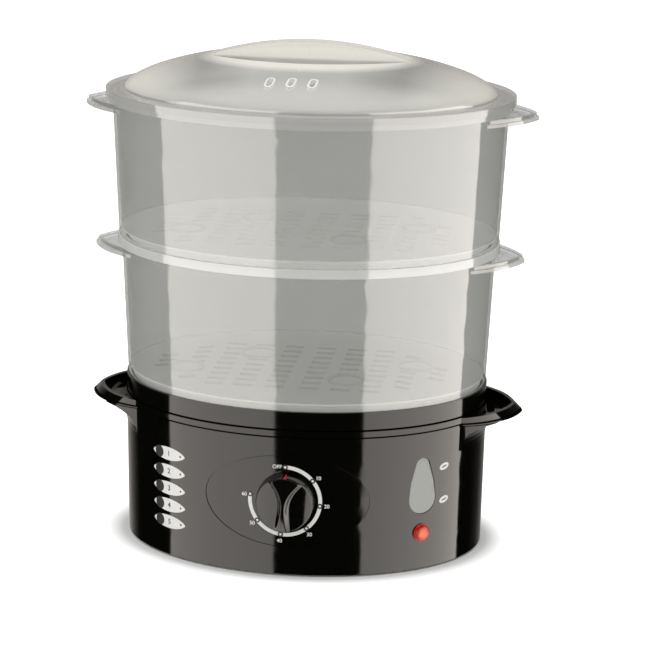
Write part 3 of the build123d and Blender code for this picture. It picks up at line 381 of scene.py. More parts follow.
def lidPlastic(name):
    # dome: darker as it climbs beside the grip, a painted dark reflection, and lighter at both ends, a
    # painted reflection of light panels; the grip carries painted light on its front face, and the flange has
    # its own shades
    d = lidForm
    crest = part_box("lid")[1].z
    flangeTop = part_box("upper_bowl")[1].z + d["flange"]

    def makeColour(tree):
        x, _, height = objectAxes(tree)
        sideways = mathNode(tree, "ABSOLUTE", x, 0.0)
        flange = spread(tree, height, 1.0, 0.0, flangeTop, flangeTop + d["flangeFade"])
        grip = spread(tree, height, 0.0, 1.0, crest - d["gripFrom"], crest - d["gripTo"])
        # painted reflection: the dome darkens as it climbs, as a dark ceiling would show in its gloss, less
        # so in the middle
        climb = spread(tree, height, 0.0, 1.0, flangeTop + d["climbFrom"], crest - d["climbTo"])
        beside = spread(tree, sideways, d["middleClimb"], 1.0, d["sideFrom"], d["sideTo"])
        climb = mathNode(tree, "MULTIPLY", climb, beside)
        clouds = noiseField(tree, clearPlastic["cloudSize"], detail=2)
        climb = mathNode(tree, "ADD", climb, spread(tree, clouds, -d["cloud"], d["cloud"]))
        colour = blendColours(tree, climb, clearPlastic["lidLow"], clearPlastic["lidPaintedDarkReflection"])
        # painted reflection: both ends are lightened as light panels would show there
        ends = spread(tree, sideways, 0.0, 1.0, d["endsFrom"], d["endsTo"])
        colour = blendColours(tree, ends, colour, clearPlastic["lidPaintedEndReflection"])
        # painted light: the grip's front face is blended to near-white as if lit from the front
        colour = blendColours(tree, grip, colour, clearPlastic["lidGripPaintedLight"])
        ledge = between(tree, height, flangeTop - d["ledgeUnder"], flangeTop + d["ledgeOver"], d["soft"])
        brim = blendColours(tree, ledge, clearPlastic["lidFlange"], clearPlastic["lidLedge"])
        colour = blendColours(tree, flange, colour, brim)
        seam = between(tree, x, -d["seamHalf"], d["seamHalf"], d["soft"])
        seam = mathNode(tree, "MULTIPLY", seam, grip)
        vent = nearVents(tree, vents)
        colour = blendColours(tree, mathNode(tree, "MAXIMUM", seam, vent), colour, clearPlastic["lidVent"])
        cover = spread(tree, flange, clearPlastic["lidCover"], clearPlastic["rimCover"], 0.0, 1.0)
        return colour, mathNode(tree, "MAXIMUM", cover, vent), 1.0

    return milkyShell(name, makeColour)


lowerMilky = bowlPlastic("lowerMilky", "lower_bowl")
upperMilky = bowlPlastic("upperMilky", "upper_bowl")
lidMilky = lidPlastic("lidMilky")

# polished black plastic: housing, tank edge, collar and knob
blackPlastic = {
    "colour": (0.0014, 0.0015, 0.0008),
    "dust": (0.0024, 0.0022, 0.0015),
    "housingRough": (0.045, 0.08),
    "knobRough": (0.07, 0.11),
    "refraction": 1.52,
    "cloudSize": 0.02,
    "smearSize": 0.006,
    "rippleSize": 0.03,
    "rippleHeight": 0.0000012,
    # painted shade along the gaps between mouldings: their heights, half width and soft edge
    "shadedGaps": (0.0993, 0.1044),
    "gapHalf": 0.00062,
    "gapSoft": 0.00015,
}


def polishedBlack(name, rough, shadedGaps=()):
    # gloss black; each gap is a height where two mouldings meet, and a painted shade turns a band round it
    # dull black, so the gap and its rounded edges show as a wide dark line
    d = blackPlastic
    material, tree, shader = newMaterial(name)
    colour = blendColours(tree, noiseField(tree, d["cloudSize"]), d["colour"], d["dust"])
    tree.links.new(colour, shader.inputs["Base Color"])
    tree.links.new(spread(tree, noiseField(tree, d["smearSize"]), *rough), shader.inputs["Roughness"])
    shader.inputs["IOR"].default_value = d["refraction"]
    addBump(tree, shader, noiseField(tree, d["rippleSize"], detail=1), d["rippleHeight"])
    if shadedGaps:
        height = objectAxes(tree)[2]
        half = d["gapHalf"]
        line = 0.0
        for gap in shadedGaps:
            here = between(tree, height, gap - half, gap + half, d["gapSoft"])
            line = mathNode(tree, "MAXIMUM", line, here)
        # painted shade: a dull black with no gloss wherever a gap runs
        gapShade = addNode(tree, "ShaderNodeBsdfDiffuse", Color=(*d["colour"], 1))
        shown = mixShaders(tree, line, shader.outputs[0], gapShade.outputs[0])
        tree.links.new(shown, tree.nodes["Material Output"].inputs["Surface"])
    return material


housingBlack = polishedBlack("housingBlack", blackPlastic["housingRough"], blackPlastic["shadedGaps"])
knobBlack = polishedBlack("knobBlack", blackPlastic["knobRough"])


# moulded parts with a fine spark-eroded grain
moulding = {"cloudSize": 0.01, "smearSize": 0.003, "smear": 0.1, "grain": 0.0008, "grainHeight": 0.00004}


def mouldedPlastic(name, colour, shade, rough, grain=moulding["grain"]):
    d = moulding
    material, tree, shader = newMaterial(name)
    clouds, smears = noiseField(tree, d["cloudSize"]), noiseField(tree, d["smearSize"])
    tree.links.new(blendColours(tree, clouds, colour, shade), shader.inputs["Base Color"])
    tree.links.new(spread(tree, smears, rough, rough + d["smear"]), shader.inputs["Roughness"])
    addBump(tree, shader, noiseField(tree, grain, detail=2), d["grainHeight"])
    return material


baseBlack = mouldedPlastic("baseBlack", (0.012, 0.012, 0.012), (0.018, 0.018, 0.017), 0.45)
innerPlastic = mouldedPlastic("innerPlastic", (0.62, 0.58, 0.49), (0.56, 0.52, 0.44), 0.4)
footRubber = mouldedPlastic("footRubber", (0.02, 0.02, 0.02), (0.032, 0.032, 0.03), 0.7, grain=0.0005)
sealSilicone = mouldedPlastic("sealSilicone", (0.55, 0.54, 0.52), (0.5, 0.49, 0.47), 0.5)
gaugePlastic = mouldedPlastic("gaugePlastic", (0.295, 0.305, 0.29), (0.305, 0.315, 0.3), 0.3, grain=0.02)


# steel with drawn lines along one axis
drawing = {"size": 0.012, "detail": 4, "rough": 0.7, "shade": 0.8, "smear": 0.15, "depth": 0.00001}


def drawnSteel(name, colour, rough, along=(1, 30, 30)):
    d = drawing
    material, tree, shader = newMaterial(name)
    lines = noiseField(tree, d["size"], detail=d["detail"], rough=d["rough"], stretch=along)
    shade = tuple(d["shade"] * c for c in colour)
    tree.links.new(blendColours(tree, lines, colour, shade), shader.inputs["Base Color"])
    tree.links.new(spread(tree, lines, rough, rough + d["smear"]), shader.inputs["Roughness"])
    shader.inputs["Metallic"].default_value = 1.0
    addBump(tree, shader, lines, d["depth"])
    return material


stainless = drawnSteel("stainless", (0.62, 0.61, 0.59), 0.25)
zincPlate = drawnSteel("zincPlate", (0.66, 0.67, 0.68), 0.3, along=(6, 6, 6))
darkSheath = drawnSteel("darkSheath", (0.30, 0.29, 0.28), 0.4, along=(4, 4, 20))


# the lamp's clear red dome: orange round its axis, a painted highlight that the emission also gives off as a
# painted glow, deep red towards its edge; half is the housing's half width behind it
lamp = {
    "middle": (0.90, 0.16, 0.05),
    "edge": (0.30, 0.004, 0.004),
    "inner": 0.0012,
    "outer": 0.0050,
    "glow": 0.25,
    "half": 0.1265,
    "facetSize": 0.0035,
    "facetShade": 0.5,
    "facetHeight": 0.0003,
    "facetBump": 0.4,
    "roughness": 0.12,
    "specular": 0.35,
}


def redLens(name):
    # the distance from the dome's axis, which stands square on the oval, picks the shade: the orange middle
    # is a painted highlight
    d = lamp
    material, tree, shader = newMaterial(name)
    low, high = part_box("lamp_lens")
    centre = 0.5 * (low + high)
    axis = Vector((centre.x / d["half"] ** 2, centre.y / (d["half"] - ovalStep) ** 2, 0)).normalized()
    offset = addNode(tree, "ShaderNodeVectorMath", operation="SUBTRACT")
    offset.inputs[1].default_value = centre
    tree.links.new(objectPoint(tree), offset.inputs[0])
    across = addNode(tree, "ShaderNodeVectorMath", operation="CROSS_PRODUCT")
    across.inputs[1].default_value = axis
    tree.links.new(offset.outputs["Vector"], across.inputs[0])
    distance = addNode(tree, "ShaderNodeVectorMath", operation="LENGTH")
    tree.links.new(across.outputs["Vector"], distance.inputs[0])
    ring = spread(tree, distance.outputs["Value"], 0.0, 1.0, d["inner"], d["outer"])
    facets = noiseField(tree, d["facetSize"], detail=1)
    sparkle = mathNode(tree, "MULTIPLY", mathNode(tree, "SUBTRACT", facets, 0.5), d["facetShade"])
    colour = blendColours(tree, mathNode(tree, "ADD", ring, sparkle), d["middle"], d["edge"])
    tree.links.new(colour, shader.inputs["Base Color"])
    # painted glow: the dome gives off its own colour as light
    tree.links.new(colour, shader.inputs["Emission Color"])
    shader.inputs["Emission Strength"].default_value = d["glow"]
    shader.inputs["Roughness"].default_value = d["roughness"]
    shader.inputs["Specular IOR Level"].default_value = d["specular"]
    addBump(tree, shader, facets, d["facetHeight"], d["facetBump"])
    return material


lampRed = redLens("lampRed")


# pad-printed ink, slightly uneven in thickness, and how it lies on the housing's skin
ink = {
    "cloudSize": 0.002,
    "smearSize": 0.001,
    "rough": (0.35, 0.5),
    "grainSize": 0.0006,
    "grainHeight": 0.00001,
    "lift": 0.00002,
    "thick": 0.00010,
    "layer": 0.00006,
    "bold": 0.00006,
    "points": 48,
    "bandSteps": 120,
    "patchRings": 5,
    "patchMiddle": 0.02,
}


def printedInk(name, colour, shade):
    material, tree, shader = newMaterial(name)
    clouds, smears = noiseField(tree, ink["cloudSize"]), noiseField(tree, ink["smearSize"])
    tree.links.new(blendColours(tree, clouds, colour, shade), shader.inputs["Base Color"])
    tree.links.new(spread(tree, smears, *ink["rough"]), shader.inputs["Roughness"])
    addBump(tree, shader, noiseField(tree, ink["grainSize"], detail=2), ink["grainHeight"])
    return material


whiteInk = printedInk("whiteInk", (0.80, 0.80, 0.77), (0.74, 0.74, 0.71))
blackInk = printedInk("blackInk", (0.004, 0.004, 0.004), (0.008, 0.008, 0.008))
redInk = printedInk("redInk", (0.56, 0.012, 0.05), (0.48, 0.01, 0.04))

finishes = {
    "lid": lidMilky,
    "upper_bowl": upperMilky,
    "lower_bowl": lowerMilky,
    "drip_tray": housingBlack,
    "water_tank": housingBlack,
    "base_housing": housingBlack,
    "timer_knob": knobBlack,
    "level_gauge": gaugePlastic,
    "gauge_seal": sealSilicone,
    "lamp_lens": lampRed,
    "lamp_holder": innerPlastic,
    "neon_lamp": sealSilicone,
    "steam_ring": innerPlastic,
    "heater_plate": stainless,
    "heater_seal": sealSilicone,
    "heater_element": darkSheath,
    "heater_bracket": stainless,
    "heater_screws": zincPlate,
    "thermostat": innerPlastic,
    "thermal_fuse": stainless,
    "timer_case": innerPlastic,
    "timer_bell": stainless,
    "timer_shaft": stainless,
    "timer_screws": zincPlate,
    "terminal_block": innerPlastic,
    "cord_bushing": footRubber,
    "cord_clamp": innerPlastic,
    "cord_clamp_screws": zincPlate,
    "base_plate": baseBlack,
    "base_screws": zincPlate,
    "foot_pad_1": footRubber,
    "foot_pad_2": footRubber,
    "foot_pad_3": footRubber,
    "foot_pad_4": footRubber,
}
for nodeName, finish in finishes.items():
    slots = nodes[nodeName].data.materials
    slots.clear()
    slots.append(finish)
print("finishes given to", len(finishes), "nodes")

# the housing's skin, from the frame: an oval that widens a little with height
lowCorner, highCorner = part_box("base_housing")
skin = {
    "low": lowCorner.z,
    "high": highCorner.z,
    "lowHalf": 0.1260,
    "highHalf": 0.1272,
}


def skinPoint(phi, z, lift):
    # x = a sin(phi), y = -(a - step) cos(phi), moved outwards along the oval's normal by the lift
    share = (z - skin["low"]) / (skin["high"] - skin["low"])
    a = skin["lowHalf"] + (skin["highHalf"] - skin["lowHalf"]) * share
    b = a - ovalStep
    normal = np.stack([np.sin(phi) / a, -np.cos(phi) / b], -1)
    normal /= np.linalg.norm(normal, axis=-1, keepdims=True)
    x = a * np.sin(phi) + normal[..., 0] * lift
    y = -b * np.cos(phi) + normal[..., 1] * lift
    return np.stack([x, y, z], -1)


def wrapOnSkin(u, v, phiDegrees, height, lift):
    # flat drawing (u across, v up) wrapped round the skin about one place: phi grows with u over arc length
    a = 0.5 * (skin["lowHalf"] + skin["highHalf"])
    b = a - ovalStep
    phi0 = math.radians(phiDegrees)
    pace = math.hypot(a * math.cos(phi0), b * math.sin(phi0))
    return skinPoint(phi0 + u / pace, height + v, lift)


def meshObject(name, points, faces, material, body, smooth=False):
    mesh = bpy.data.meshes.new(name)
    mesh.from_pydata(np.asarray(points, float).reshape(-1, 3).tolist(), [], faces)
    mesh.update()
    if smooth:
        mesh.polygons.foreach_set("use_smooth", np.ones(len(mesh.polygons), bool))
    mesh.materials.append(material)
    piece = bpy.data.objects.new(name, mesh)
    bpy.context.scene.collection.objects.link(piece)
    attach(piece, body)
    return piece


# in metres: points nearer than this are one, and edges shorter than this are taken out
nearest = {"points": 1e-7, "edges": 1e-8}


def tidyNormals(piece):
    # merges doubled points and turns every face outwards
    work = bmesh.new()
    work.from_mesh(piece.data)
    bmesh.ops.remove_doubles(work, verts=work.verts, dist=nearest["points"])
    bmesh.ops.dissolve_degenerate(work, edges=work.edges, dist=nearest["edges"])
    bmesh.ops.recalc_face_normals(work, faces=work.faces)
    work.to_mesh(piece.data)
    work.free()


def gridFaces(rows, columns, closed=False):
    # quads between neighbouring points of a rows x columns grid, whose columns may close into a ring
    i, j = np.meshgrid(np.arange(rows - 1), np.arange(columns if closed else columns - 1), indexing="ij")
    here, below, nextJ = i * columns, (i + 1) * columns, (j + 1) % columns
    return np.stack([here + j, here + nextJ, below + nextJ, below + j], -1).reshape(-1, 4).tolist()


def inkBand(name, place, radius, width, angles, material):
    # a thin band along an arc; angles run from the top, clockwise; the section's corners go
    # (inner, low), (outer, low), (outer, high), (inner, high); place is (side, phi, height)
    side, phiDegrees, height = place
    steps = ink["bandSteps"]
    turn = np.radians(np.linspace(*angles, steps))[:, None]
    radii = np.array([radius - width / 2, radius + width / 2, radius + width / 2, radius - width / 2])[None]
    lifts = ink["lift"] + ink["thick"] * np.array([0, 0, 1, 1])[None] + 0 * turn
    u, v = side + radii * np.sin(turn), radii * np.cos(turn)
    points = wrapOnSkin(u, v, phiDegrees, height, lifts)
    faces = [face[::-1] for face in gridFaces(steps, 4, closed=True)]
    last = 4 * steps - 1
    faces += [[0, 1, 2, 3], [last, last - 1, last - 2, last - 3]]
    return meshObject(name, points, faces, material, "base")


def inkPatch(name, outline, phiDegrees, height, material, layers=0):
    # a closed outline filled by shrinking it towards its middle, with a rim down to the skin;
    # layers counts the inks that lie under it
    outline = np.asarray(outline)
    middle = outline.mean(0)
    shares = np.concatenate([[1.0], np.linspace(1, ink["patchMiddle"], ink["patchRings"])])
    flat = middle + (outline - middle)[None] * shares[:, None, None]
    lifts = np.full(flat.shape[:2], ink["lift"] + ink["thick"] + layers * ink["layer"])
    lifts[0] = ink["lift"]
    points = wrapOnSkin(flat[..., 0], flat[..., 1], phiDegrees, height, lifts)
    count = len(outline)
    faces = [face[::-1] for face in gridFaces(len(shares), count, closed=True)]
    faces += [list(range((len(shares) - 1) * count, len(shares) * count))]
    return meshObject(name, points, faces, material, "base")


def ovalOutline(width, height, u=0.0, v=0.0, count=ink["points"], tilt=0.0, pointed=0.0):
    # ellipse, drawn out to points at its ends by raising its height's fall-off
    t = np.linspace(0, 2 * np.pi, count, endpoint=False)
    x = width / 2 * np.cos(t)
    y = height / 2 * np.sin(t) * np.abs(np.sin(t)) ** pointed
    c, s = math.cos(math.radians(tilt)), math.sin(math.radians(tilt))
    return np.stack([u + x * c - y * s, v + x * s + y * c], -1)


def roundOutline(radius, u=0.0, v=0.0, count=ink["points"]):
    return ovalOutline(2 * radius, 2 * radius, u, v, count)


def inkText(name, text, size, u, v, phiDegrees, height, material, layers=0):
    # lettering set flat, made a mesh, then each point wrapped on the skin
    data = bpy.data.curves.new(name, "FONT")
    data.body, data.size, data.align_x, data.align_y = text, size, "CENTER", "CENTER"
    data.offset = ink["bold"]
    data.extrude = ink["thick"] / 2
    temporary = bpy.data.objects.new(name, data)
    bpy.context.scene.collection.objects.link(temporary)
    mesh = bpy.data.meshes.new_from_object(temporary.evaluated_get(bpy.context.evaluated_depsgraph_get()))
    bpy.data.objects.remove(temporary)
    co = np.zeros(len(mesh.vertices) * 3)
    mesh.vertices.foreach_get("co", co)
    co = co.reshape(-1, 3)
    lifts = co[:, 2] + ink["lift"] + ink["thick"] / 2 + layers * ink["layer"]
    placed = wrapOnSkin(co[:, 0] + u, co[:, 1] + v, phiDegrees, height, lifts)
    mesh.vertices.foreach_set("co", placed.ravel())
    mesh.polygons.foreach_set("use_smooth", np.zeros(len(mesh.polygons), bool))
    mesh.update()
    mesh.materials.clear()
    mesh.materials.append(material)
    mesh.name = name
    piece = bpy.data.objects.new(name, mesh)
    bpy.context.scene.collection.objects.link(piece)
    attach(piece, "base")
    return piece


# the dial's printed scale, clockwise from off at the top; places are across and up from its middle
dial = {
    "height": 0.0542,
    "radius": 0.0241,
    "width": 0.0026,
    "angles": (0.3, 51.2, 96.6, 141.5, 186.3, 231.3, 277.6),
    "bandStart": 3.0,
    "side": -0.00044,
    "dotRadius": 0.00085,
    "dotEdge": 0.00100,
    "dotPoints": 32,
    "numerals": (
        (0.0222, 0.0170),
        (0.0282, -0.0031),
        (0.0166, -0.0233),
        (-0.0038, -0.0287),
        (-0.0229, -0.0176),
        (-0.0286, 0.0027),
    ),
    "numeralSize": 0.0037,
    "offPlace": (-0.0058, 0.0241),
}


def buildDial(d):
    height, size = d["height"], d["numeralSize"]
    span = (d["bandStart"], d["angles"][-1])
    inkBand("dial_scale", (d["side"], 0, height), d["radius"], d["width"], span, whiteInk)
    for index, angle in enumerate(d["angles"]):
        turn = math.radians(angle)
        u, v = d["side"] + d["radius"] * math.sin(turn), d["radius"] * math.cos(turn)
        edge = roundOutline(d["dotRadius"] + d["dotEdge"], u, v)
        inkPatch(f"dial_dot_edge_{index}", edge, 0, height, blackInk, layers=1)
        dot = roundOutline(d["dotRadius"], u, v, d["dotPoints"])
        inkPatch(f"dial_dot_{index}", dot, 0, height, whiteInk, layers=2)
    for index, (u, v) in enumerate(d["numerals"], start=1):
        inkText(f"dial_numeral_{index}0", f"{index}0", size, u, v, 0, height, whiteInk)
    inkText("dial_off", "OFF", size, *d["offPlace"], 0, height, whiteInk)


buildDial(dial)
print("dial printed")

# five pointed oval labels on the left, with plain numbers only; spot, numeral and dot are (across, size)
labels = {
    "phi": -42.2,
    "heights": (0.0750, 0.0623, 0.0499, 0.0376, 0.0255),
    "width": 0.0300,
    "height": 0.0094,
    "pointed": 0.35,
    "spot": (-0.0085, 0.0042),
    "numeral": (0.0008, 0.0052),
    "endDot": (0.0112, 0.0007),
    "endDotPoints": 16,
}


def buildLabels(d):
    for index, height in enumerate(d["heights"], start=1):
        outline = ovalOutline(d["width"], d["height"], pointed=d["pointed"])
        inkPatch(f"label_{index}", outline, d["phi"], height, whiteInk)
        u, radius = d["spot"]
        inkPatch(f"label_spot_{index}", roundOutline(radius, u), d["phi"], height, blackInk, layers=1)
        u, radius = d["endDot"]
        dot = roundOutline(radius, u, count=d["endDotPoints"])
        inkPatch(f"label_dot_{index}", dot, d["phi"], height, blackInk, layers=1)
        u, size = d["numeral"]
        inkText(f"label_number_{index}", str(index), size, u, 0, d["phi"], height, blackInk, layers=1)


buildLabels(labels)

# two small level marks beside the sight glass, each with a bar across it; places are (phi, height)
levelMarks = {
    "places": ((54.6, 0.0723), (55.0, 0.0483)),
    "width": 0.0080,
    "height": 0.0048,
    "tilt": 14.0,
    "barWidth": 0.00496,
    "barHeight": 0.0010,
    "barPoints": 24,
}


def buildLevelMarks(d):
    for index, (phi, height) in enumerate(d["places"], start=1):
        outline = ovalOutline(d["width"], d["height"], tilt=d["tilt"])
        inkPatch(f"level_mark_{index}", outline, phi, height, whiteInk)
        bar = ovalOutline(d["barWidth"], d["barHeight"], tilt=d["tilt"], count=d["barPoints"])
        inkPatch(f"level_mark_bar_{index}", bar, phi, height, blackInk, layers=1)


buildLevelMarks(levelMarks)
print("labels and level marks printed")

mm = 0.001

# the knob in full, lengths in mm: a grip bar that flares upwards, between two faces that fall away sideways;
# its back is a list of (radius, height) round the hollow and the shaft's socket
knob = {
    "backRadius": 20.0,
    "depth": 13.0,
    "taper": 0.131,
    "turn": 3.2,
    "barMiddle": 0.8,
    "barCrown": 0.012,
    "flareFrom": 1.0,
    "flareRun": 16.0,
    "flareTop": 7.5,
    "flareTopPower": 2.1,
    "flareBottom": 1.8,
    "flareBottomPower": 1.6,
    "wallRun": 3.4,
    "faceHeight": 9.2,
    "faceFall": 0.0118,
    "faceBack": 0.0025,
    "barFall": 0.0125,
    "edge": 0.6,
    "edgeStop": 0.96,
    "rimNear": 18.6,
    "back": (
        (19.2, 0.0),
        (17.6, 0.0),
        (17.6, 1.5),
        (5.5, 1.5),
        (5.5, 0.0),
        (3.1, 0.0),
        (3.1, 7.0),
        (0.4, 7.0),
    ),
    "firstRing": 0.001,
    "rings": 110,
    "sideRings": 13,
    "spokes": 288,
}
knobLow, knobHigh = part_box("timer_knob")


def knobFront(d, u, v):
    # face: height - fall u^2 - back v^2; bar: full height within its half width, which grows up and down from
    # the middle as a power of the way out, with a smooth wall of a given run between the two
    face = d["faceHeight"] - d["faceFall"] * u**2 - d["faceBack"] * v**2
    up = np.clip((v + d["flareFrom"]) / d["flareRun"], 0, 1)
    down = np.clip((-v - d["flareFrom"]) / d["flareRun"], 0, 1)
    flare = d["flareTop"] * up ** d["flareTopPower"] + d["flareBottom"] * down ** d["flareBottomPower"]
    half = d["barMiddle"] + flare
    t = np.clip((np.abs(u) - half) / d["wallRun"], 0, 1)
    share = 1 - t * t * (3 - 2 * t)
    crown = d["depth"] - d["barCrown"] * (u / half) ** 2 - d["barFall"] * v**2
    return face + (crown - face) * share


def buildKnob(d):
    # polar grid: the front out to the rim, a rounded edge, the coned side, then the hollow back
    turn = np.linspace(0, 2 * np.pi, d["spokes"], endpoint=False)[None]
    lean = math.radians(d["turn"])

    def height(radius):
        x, y = radius * np.sin(turn), radius * np.cos(turn)
        u, v = x * math.cos(lean) - y * math.sin(lean), x * math.sin(lean) + y * math.cos(lean)
        return knobFront(d, u, v)

    rim = d["backRadius"] - d["taper"] * height(np.full_like(turn, d["rimNear"]))
    share = np.linspace(d["firstRing"], 1, d["rings"])[:, None]
    radius = rim * share
    rounding = np.clip((radius - (rim - d["edge"])) / d["edge"], 0, d["edgeStop"])
    front = height(radius) - d["edge"] * (1 - np.sqrt(1 - rounding**2))
    sideHeight = front[-1:] * np.linspace(1, 0, d["sideRings"] + 1)[1:, None]
    sideRadius = d["backRadius"] - d["taper"] * sideHeight
    back = np.array(d["back"])
    radii = np.concatenate([radius, sideRadius, np.repeat(back[:, :1], d["spokes"], 1)])
    heights = np.concatenate([front, sideHeight, np.repeat(back[:, 1:], d["spokes"], 1)])
    centre = 0.5 * (knobLow.z + knobHigh.z)
    across, up = mm * radii * np.sin(turn), mm * radii * np.cos(turn)
    points = np.stack([across, knobHigh.y - mm * heights, centre + up], -1)
    rows, columns = radii.shape
    faces = gridFaces(rows, columns, closed=True)
    faces += [list(range(columns)), list(range(rows * columns - 1, (rows - 1) * columns - 1, -1))]
    piece = meshObject("knob_cap", points, faces, knobBlack, "knob", smooth=True)
    tidyNormals(piece)
    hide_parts("timer_knob")


buildKnob(knob)

# the red pointer, on the slope of the knob's side; lengths in mm
pointer = {
    "tip": 0.8,
    "base": 8.2,
    "halfWidth": 1.05,
    "tipShare": 0.02,
    "turn": 2.4,
    "lift": 0.10,
    "sink": 0.12,
    "rows": 12,
    "columns": 9,
}


def buildPointer(d):
    # a triangle on the cone: s runs from back to front, t across, narrowing to the tip at the back
    s, t = np.meshgrid(np.linspace(0, 1, d["rows"]), np.linspace(-1, 1, d["columns"]), indexing="ij")
    height = d["tip"] + (d["base"] - d["tip"]) * s
    radius = knob["backRadius"] - knob["taper"] * height
    width = d["halfWidth"] * (d["tipShare"] + (1 - d["tipShare"]) * s)
    turn = math.radians(d["turn"]) + t * width / radius
    centre = 0.5 * (knobLow.z + knobHigh.z)
    layers = []
    for lift in (d["lift"], -d["sink"]):
        across, up = (radius + lift) * np.sin(turn), (radius + lift) * np.cos(turn)
        layers.append(np.stack([mm * across, knobHigh.y - mm * height, centre + mm * up], -1))
    rows, columns = s.shape
    count = rows * columns
    top = gridFaces(rows, columns)
    under = [[index + count for index in face[::-1]] for face in top]
    rim = [r * columns for r in range(rows)] + [(rows - 1) * columns + c for c in range(1, columns)]
    rim += [r * columns + columns - 1 for r in range(rows - 2, -1, -1)] + list(range(columns - 2, 0, -1))
    sides = [[a, a + count, b + count, b] for a, b in zip(rim, rim[1:] + rim[:1])]
    faces = top + under + sides
    piece = meshObject("knob_pointer", np.concatenate(layers), faces, redInk, "knob")
    tidyNormals(piece)


buildPointer(pointer)
print("knob and pointer made")

# pale floor, soft light, and tall light panels that show only as reflections
studio = {
    "floorSize": 8.0,
    "floorColour": (0.80, 0.80, 0.79),
    # the floor's glow is held back round the base, a painted shadow
    "glow": 0.70,
    "glowFrom": 1.03,
    "glowTo": 1.17,
    "ambient": 0.78,
    "panels": (
        {"from": -78, "to": -14, "edge": 0.9, "start": 3.0, "end": 2.45},
        {"from": 30, "to": 108, "edge": 0.9, "start": 2.6, "end": 4.3},
        {"from": 145, "to": 222, "edge": 22.0, "start": 0.10, "end": 0.60},
    ),
    "panelBottom": -2.0,
    "panelTop": 0.62,
    "panelSoft": 0.06,
    "panelColour": (1.0, 0.945, 0.885),
    "ceiling": 0.55,
    "ceilingFrom": 0.70,
    "ceilingTo": 0.90,
    "dark": 0.004,
    "aim": (0, 0, 0.2),
    "lamps": {
        "topLight": {"place": (-0.1, -0.1, 1.9), "size": 2.2, "power": 16.0},
        "frontLight": {"place": (-0.5, -2.4, 1.1), "size": 1.8, "power": 10.0},
    },
}


def buildFloor(s):
    half = s["floorSize"] / 2
    corners = [(-half, -half, 0), (half, -half, 0), (half, half, 0), (-half, half, 0)]
    mesh = bpy.data.meshes.new("floor")
    mesh.from_pydata(corners, [], [[0, 1, 2, 3]])
    material, tree, _ = newMaterial("floorPale")
    tree.nodes.clear()
    diffuse = addNode(tree, "ShaderNodeBsdfDiffuse", Color=(*s["floorColour"], 1))
    glow = addNode(tree, "ShaderNodeEmission", Color=(1, 1, 1, 1))
    through = addNode(tree, "ShaderNodeBsdfTransparent")
    path = addNode(tree, "ShaderNodeLightPath")
    # painted shadow: the glow starts outside the foot of the base and grows further out, so the floor is
    # darker round the base: (x / half)^2 + (y / (half - step))^2, square-rooted
    x, y, _ = objectAxes(tree)
    side = mathNode(tree, "DIVIDE", x, skin["lowHalf"])
    deep = mathNode(tree, "DIVIDE", y, skin["lowHalf"] - ovalStep)
    away = mathNode(tree, "SQRT", addSquares(tree, side, deep), 0.0)
    level = spread(tree, away, 0.0, s["glow"], s["glowFrom"], s["glowTo"])
    strength = mathNode(tree, "MULTIPLY", path.outputs["Is Camera Ray"], level)
    tree.links.new(strength, glow.inputs["Strength"])
    lit = addNode(tree, "ShaderNodeAddShader")
    tree.links.new(diffuse.outputs[0], lit.inputs[0])
    tree.links.new(glow.outputs[0], lit.inputs[1])
    shown = mixShaders(tree, path.outputs["Is Glossy Ray"], lit.outputs[0], through.outputs[0])
    tree.links.new(shown, addNode(tree, "ShaderNodeOutputMaterial").inputs["Surface"])
    mesh.materials.append(material)
    floor = bpy.data.objects.new("floor", mesh)
    bpy.context.scene.collection.objects.link(floor)


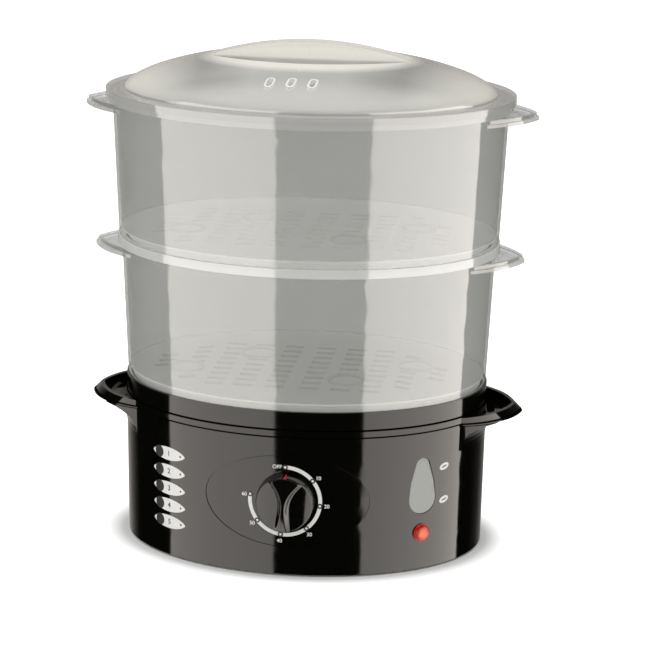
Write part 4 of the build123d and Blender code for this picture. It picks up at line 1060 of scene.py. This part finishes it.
def buildWorld(s):
    # what a glossy ray meets is dark, with bright panels between pairs of compass angles
    world = bpy.data.worlds.new("studio")
    bpy.context.scene.world = world
    world.use_nodes = True
    tree = world.node_tree
    tree.nodes.clear()
    parts = addNode(tree, "ShaderNodeSeparateXYZ")
    tree.links.new(addNode(tree, "ShaderNodeTexCoord").outputs["Generated"], parts.inputs[0])
    forward = mathNode(tree, "MULTIPLY", parts.outputs["Y"], -1.0)
    compass = mathNode(tree, "ARCTAN2", parts.outputs["X"], forward)
    total = 0.0
    for panel in s["panels"]:
        # a panel that crosses the back of the compass is drawn once more a full turn lower
        for lap in (0, -360):
            low, high = math.radians(panel["from"] + lap), math.radians(panel["to"] + lap)
            edge = math.radians(panel["edge"])
            if high + edge < -math.pi:
                continue
            level = spread(tree, compass, panel["start"], panel["end"], low, high)
            band = mathNode(tree, "MULTIPLY", between(tree, compass, low, high, edge, smooth=True), level)
            total = mathNode(tree, "ADD", total, band)
    rise = parts.outputs["Z"]
    tall = between(tree, rise, s["panelBottom"], s["panelTop"], s["panelSoft"], smooth=True)
    above = spread(tree, rise, 0.0, s["ceiling"], s["ceilingFrom"], s["ceilingTo"], smooth=True)
    seen = mathNode(tree, "MULTIPLY", total, tall)
    seen = mathNode(tree, "ADD", seen, mathNode(tree, "ADD", above, s["dark"]))
    glossy = addNode(tree, "ShaderNodeBackground", Color=(*s["panelColour"], 1))
    tree.links.new(seen, glossy.inputs["Strength"])
    soft = addNode(tree, "ShaderNodeBackground", Color=(1, 1, 1, 1), Strength=s["ambient"])
    white = addNode(tree, "ShaderNodeBackground", Color=(1, 1, 1, 1), Strength=1.0)
    path = addNode(tree, "ShaderNodeLightPath")
    shown = mixShaders(tree, path.outputs["Is Glossy Ray"], soft.outputs[0], glossy.outputs[0])
    shown = mixShaders(tree, path.outputs["Is Camera Ray"], shown, white.outputs[0])
    tree.links.new(shown, addNode(tree, "ShaderNodeOutputWorld").inputs["Surface"])


def areaLight(name, place, aim, size, power):
    data = bpy.data.lights.new(name, "AREA")
    data.size, data.energy = size, power
    light = bpy.data.objects.new(name, data)
    light.location = place
    light.rotation_euler = (Vector(aim) - Vector(place)).to_track_quat("-Z", "Y").to_euler()
    light.visible_glossy = False
    light.visible_camera = False
    bpy.context.scene.collection.objects.link(light)


buildFloor(studio)
buildWorld(studio)
for lampName, d in studio["lamps"].items():
    areaLight(lampName, d["place"], studio["aim"], d["size"], d["power"])
bpy.context.scene.view_settings.view_transform = "Standard"
print("studio ready")
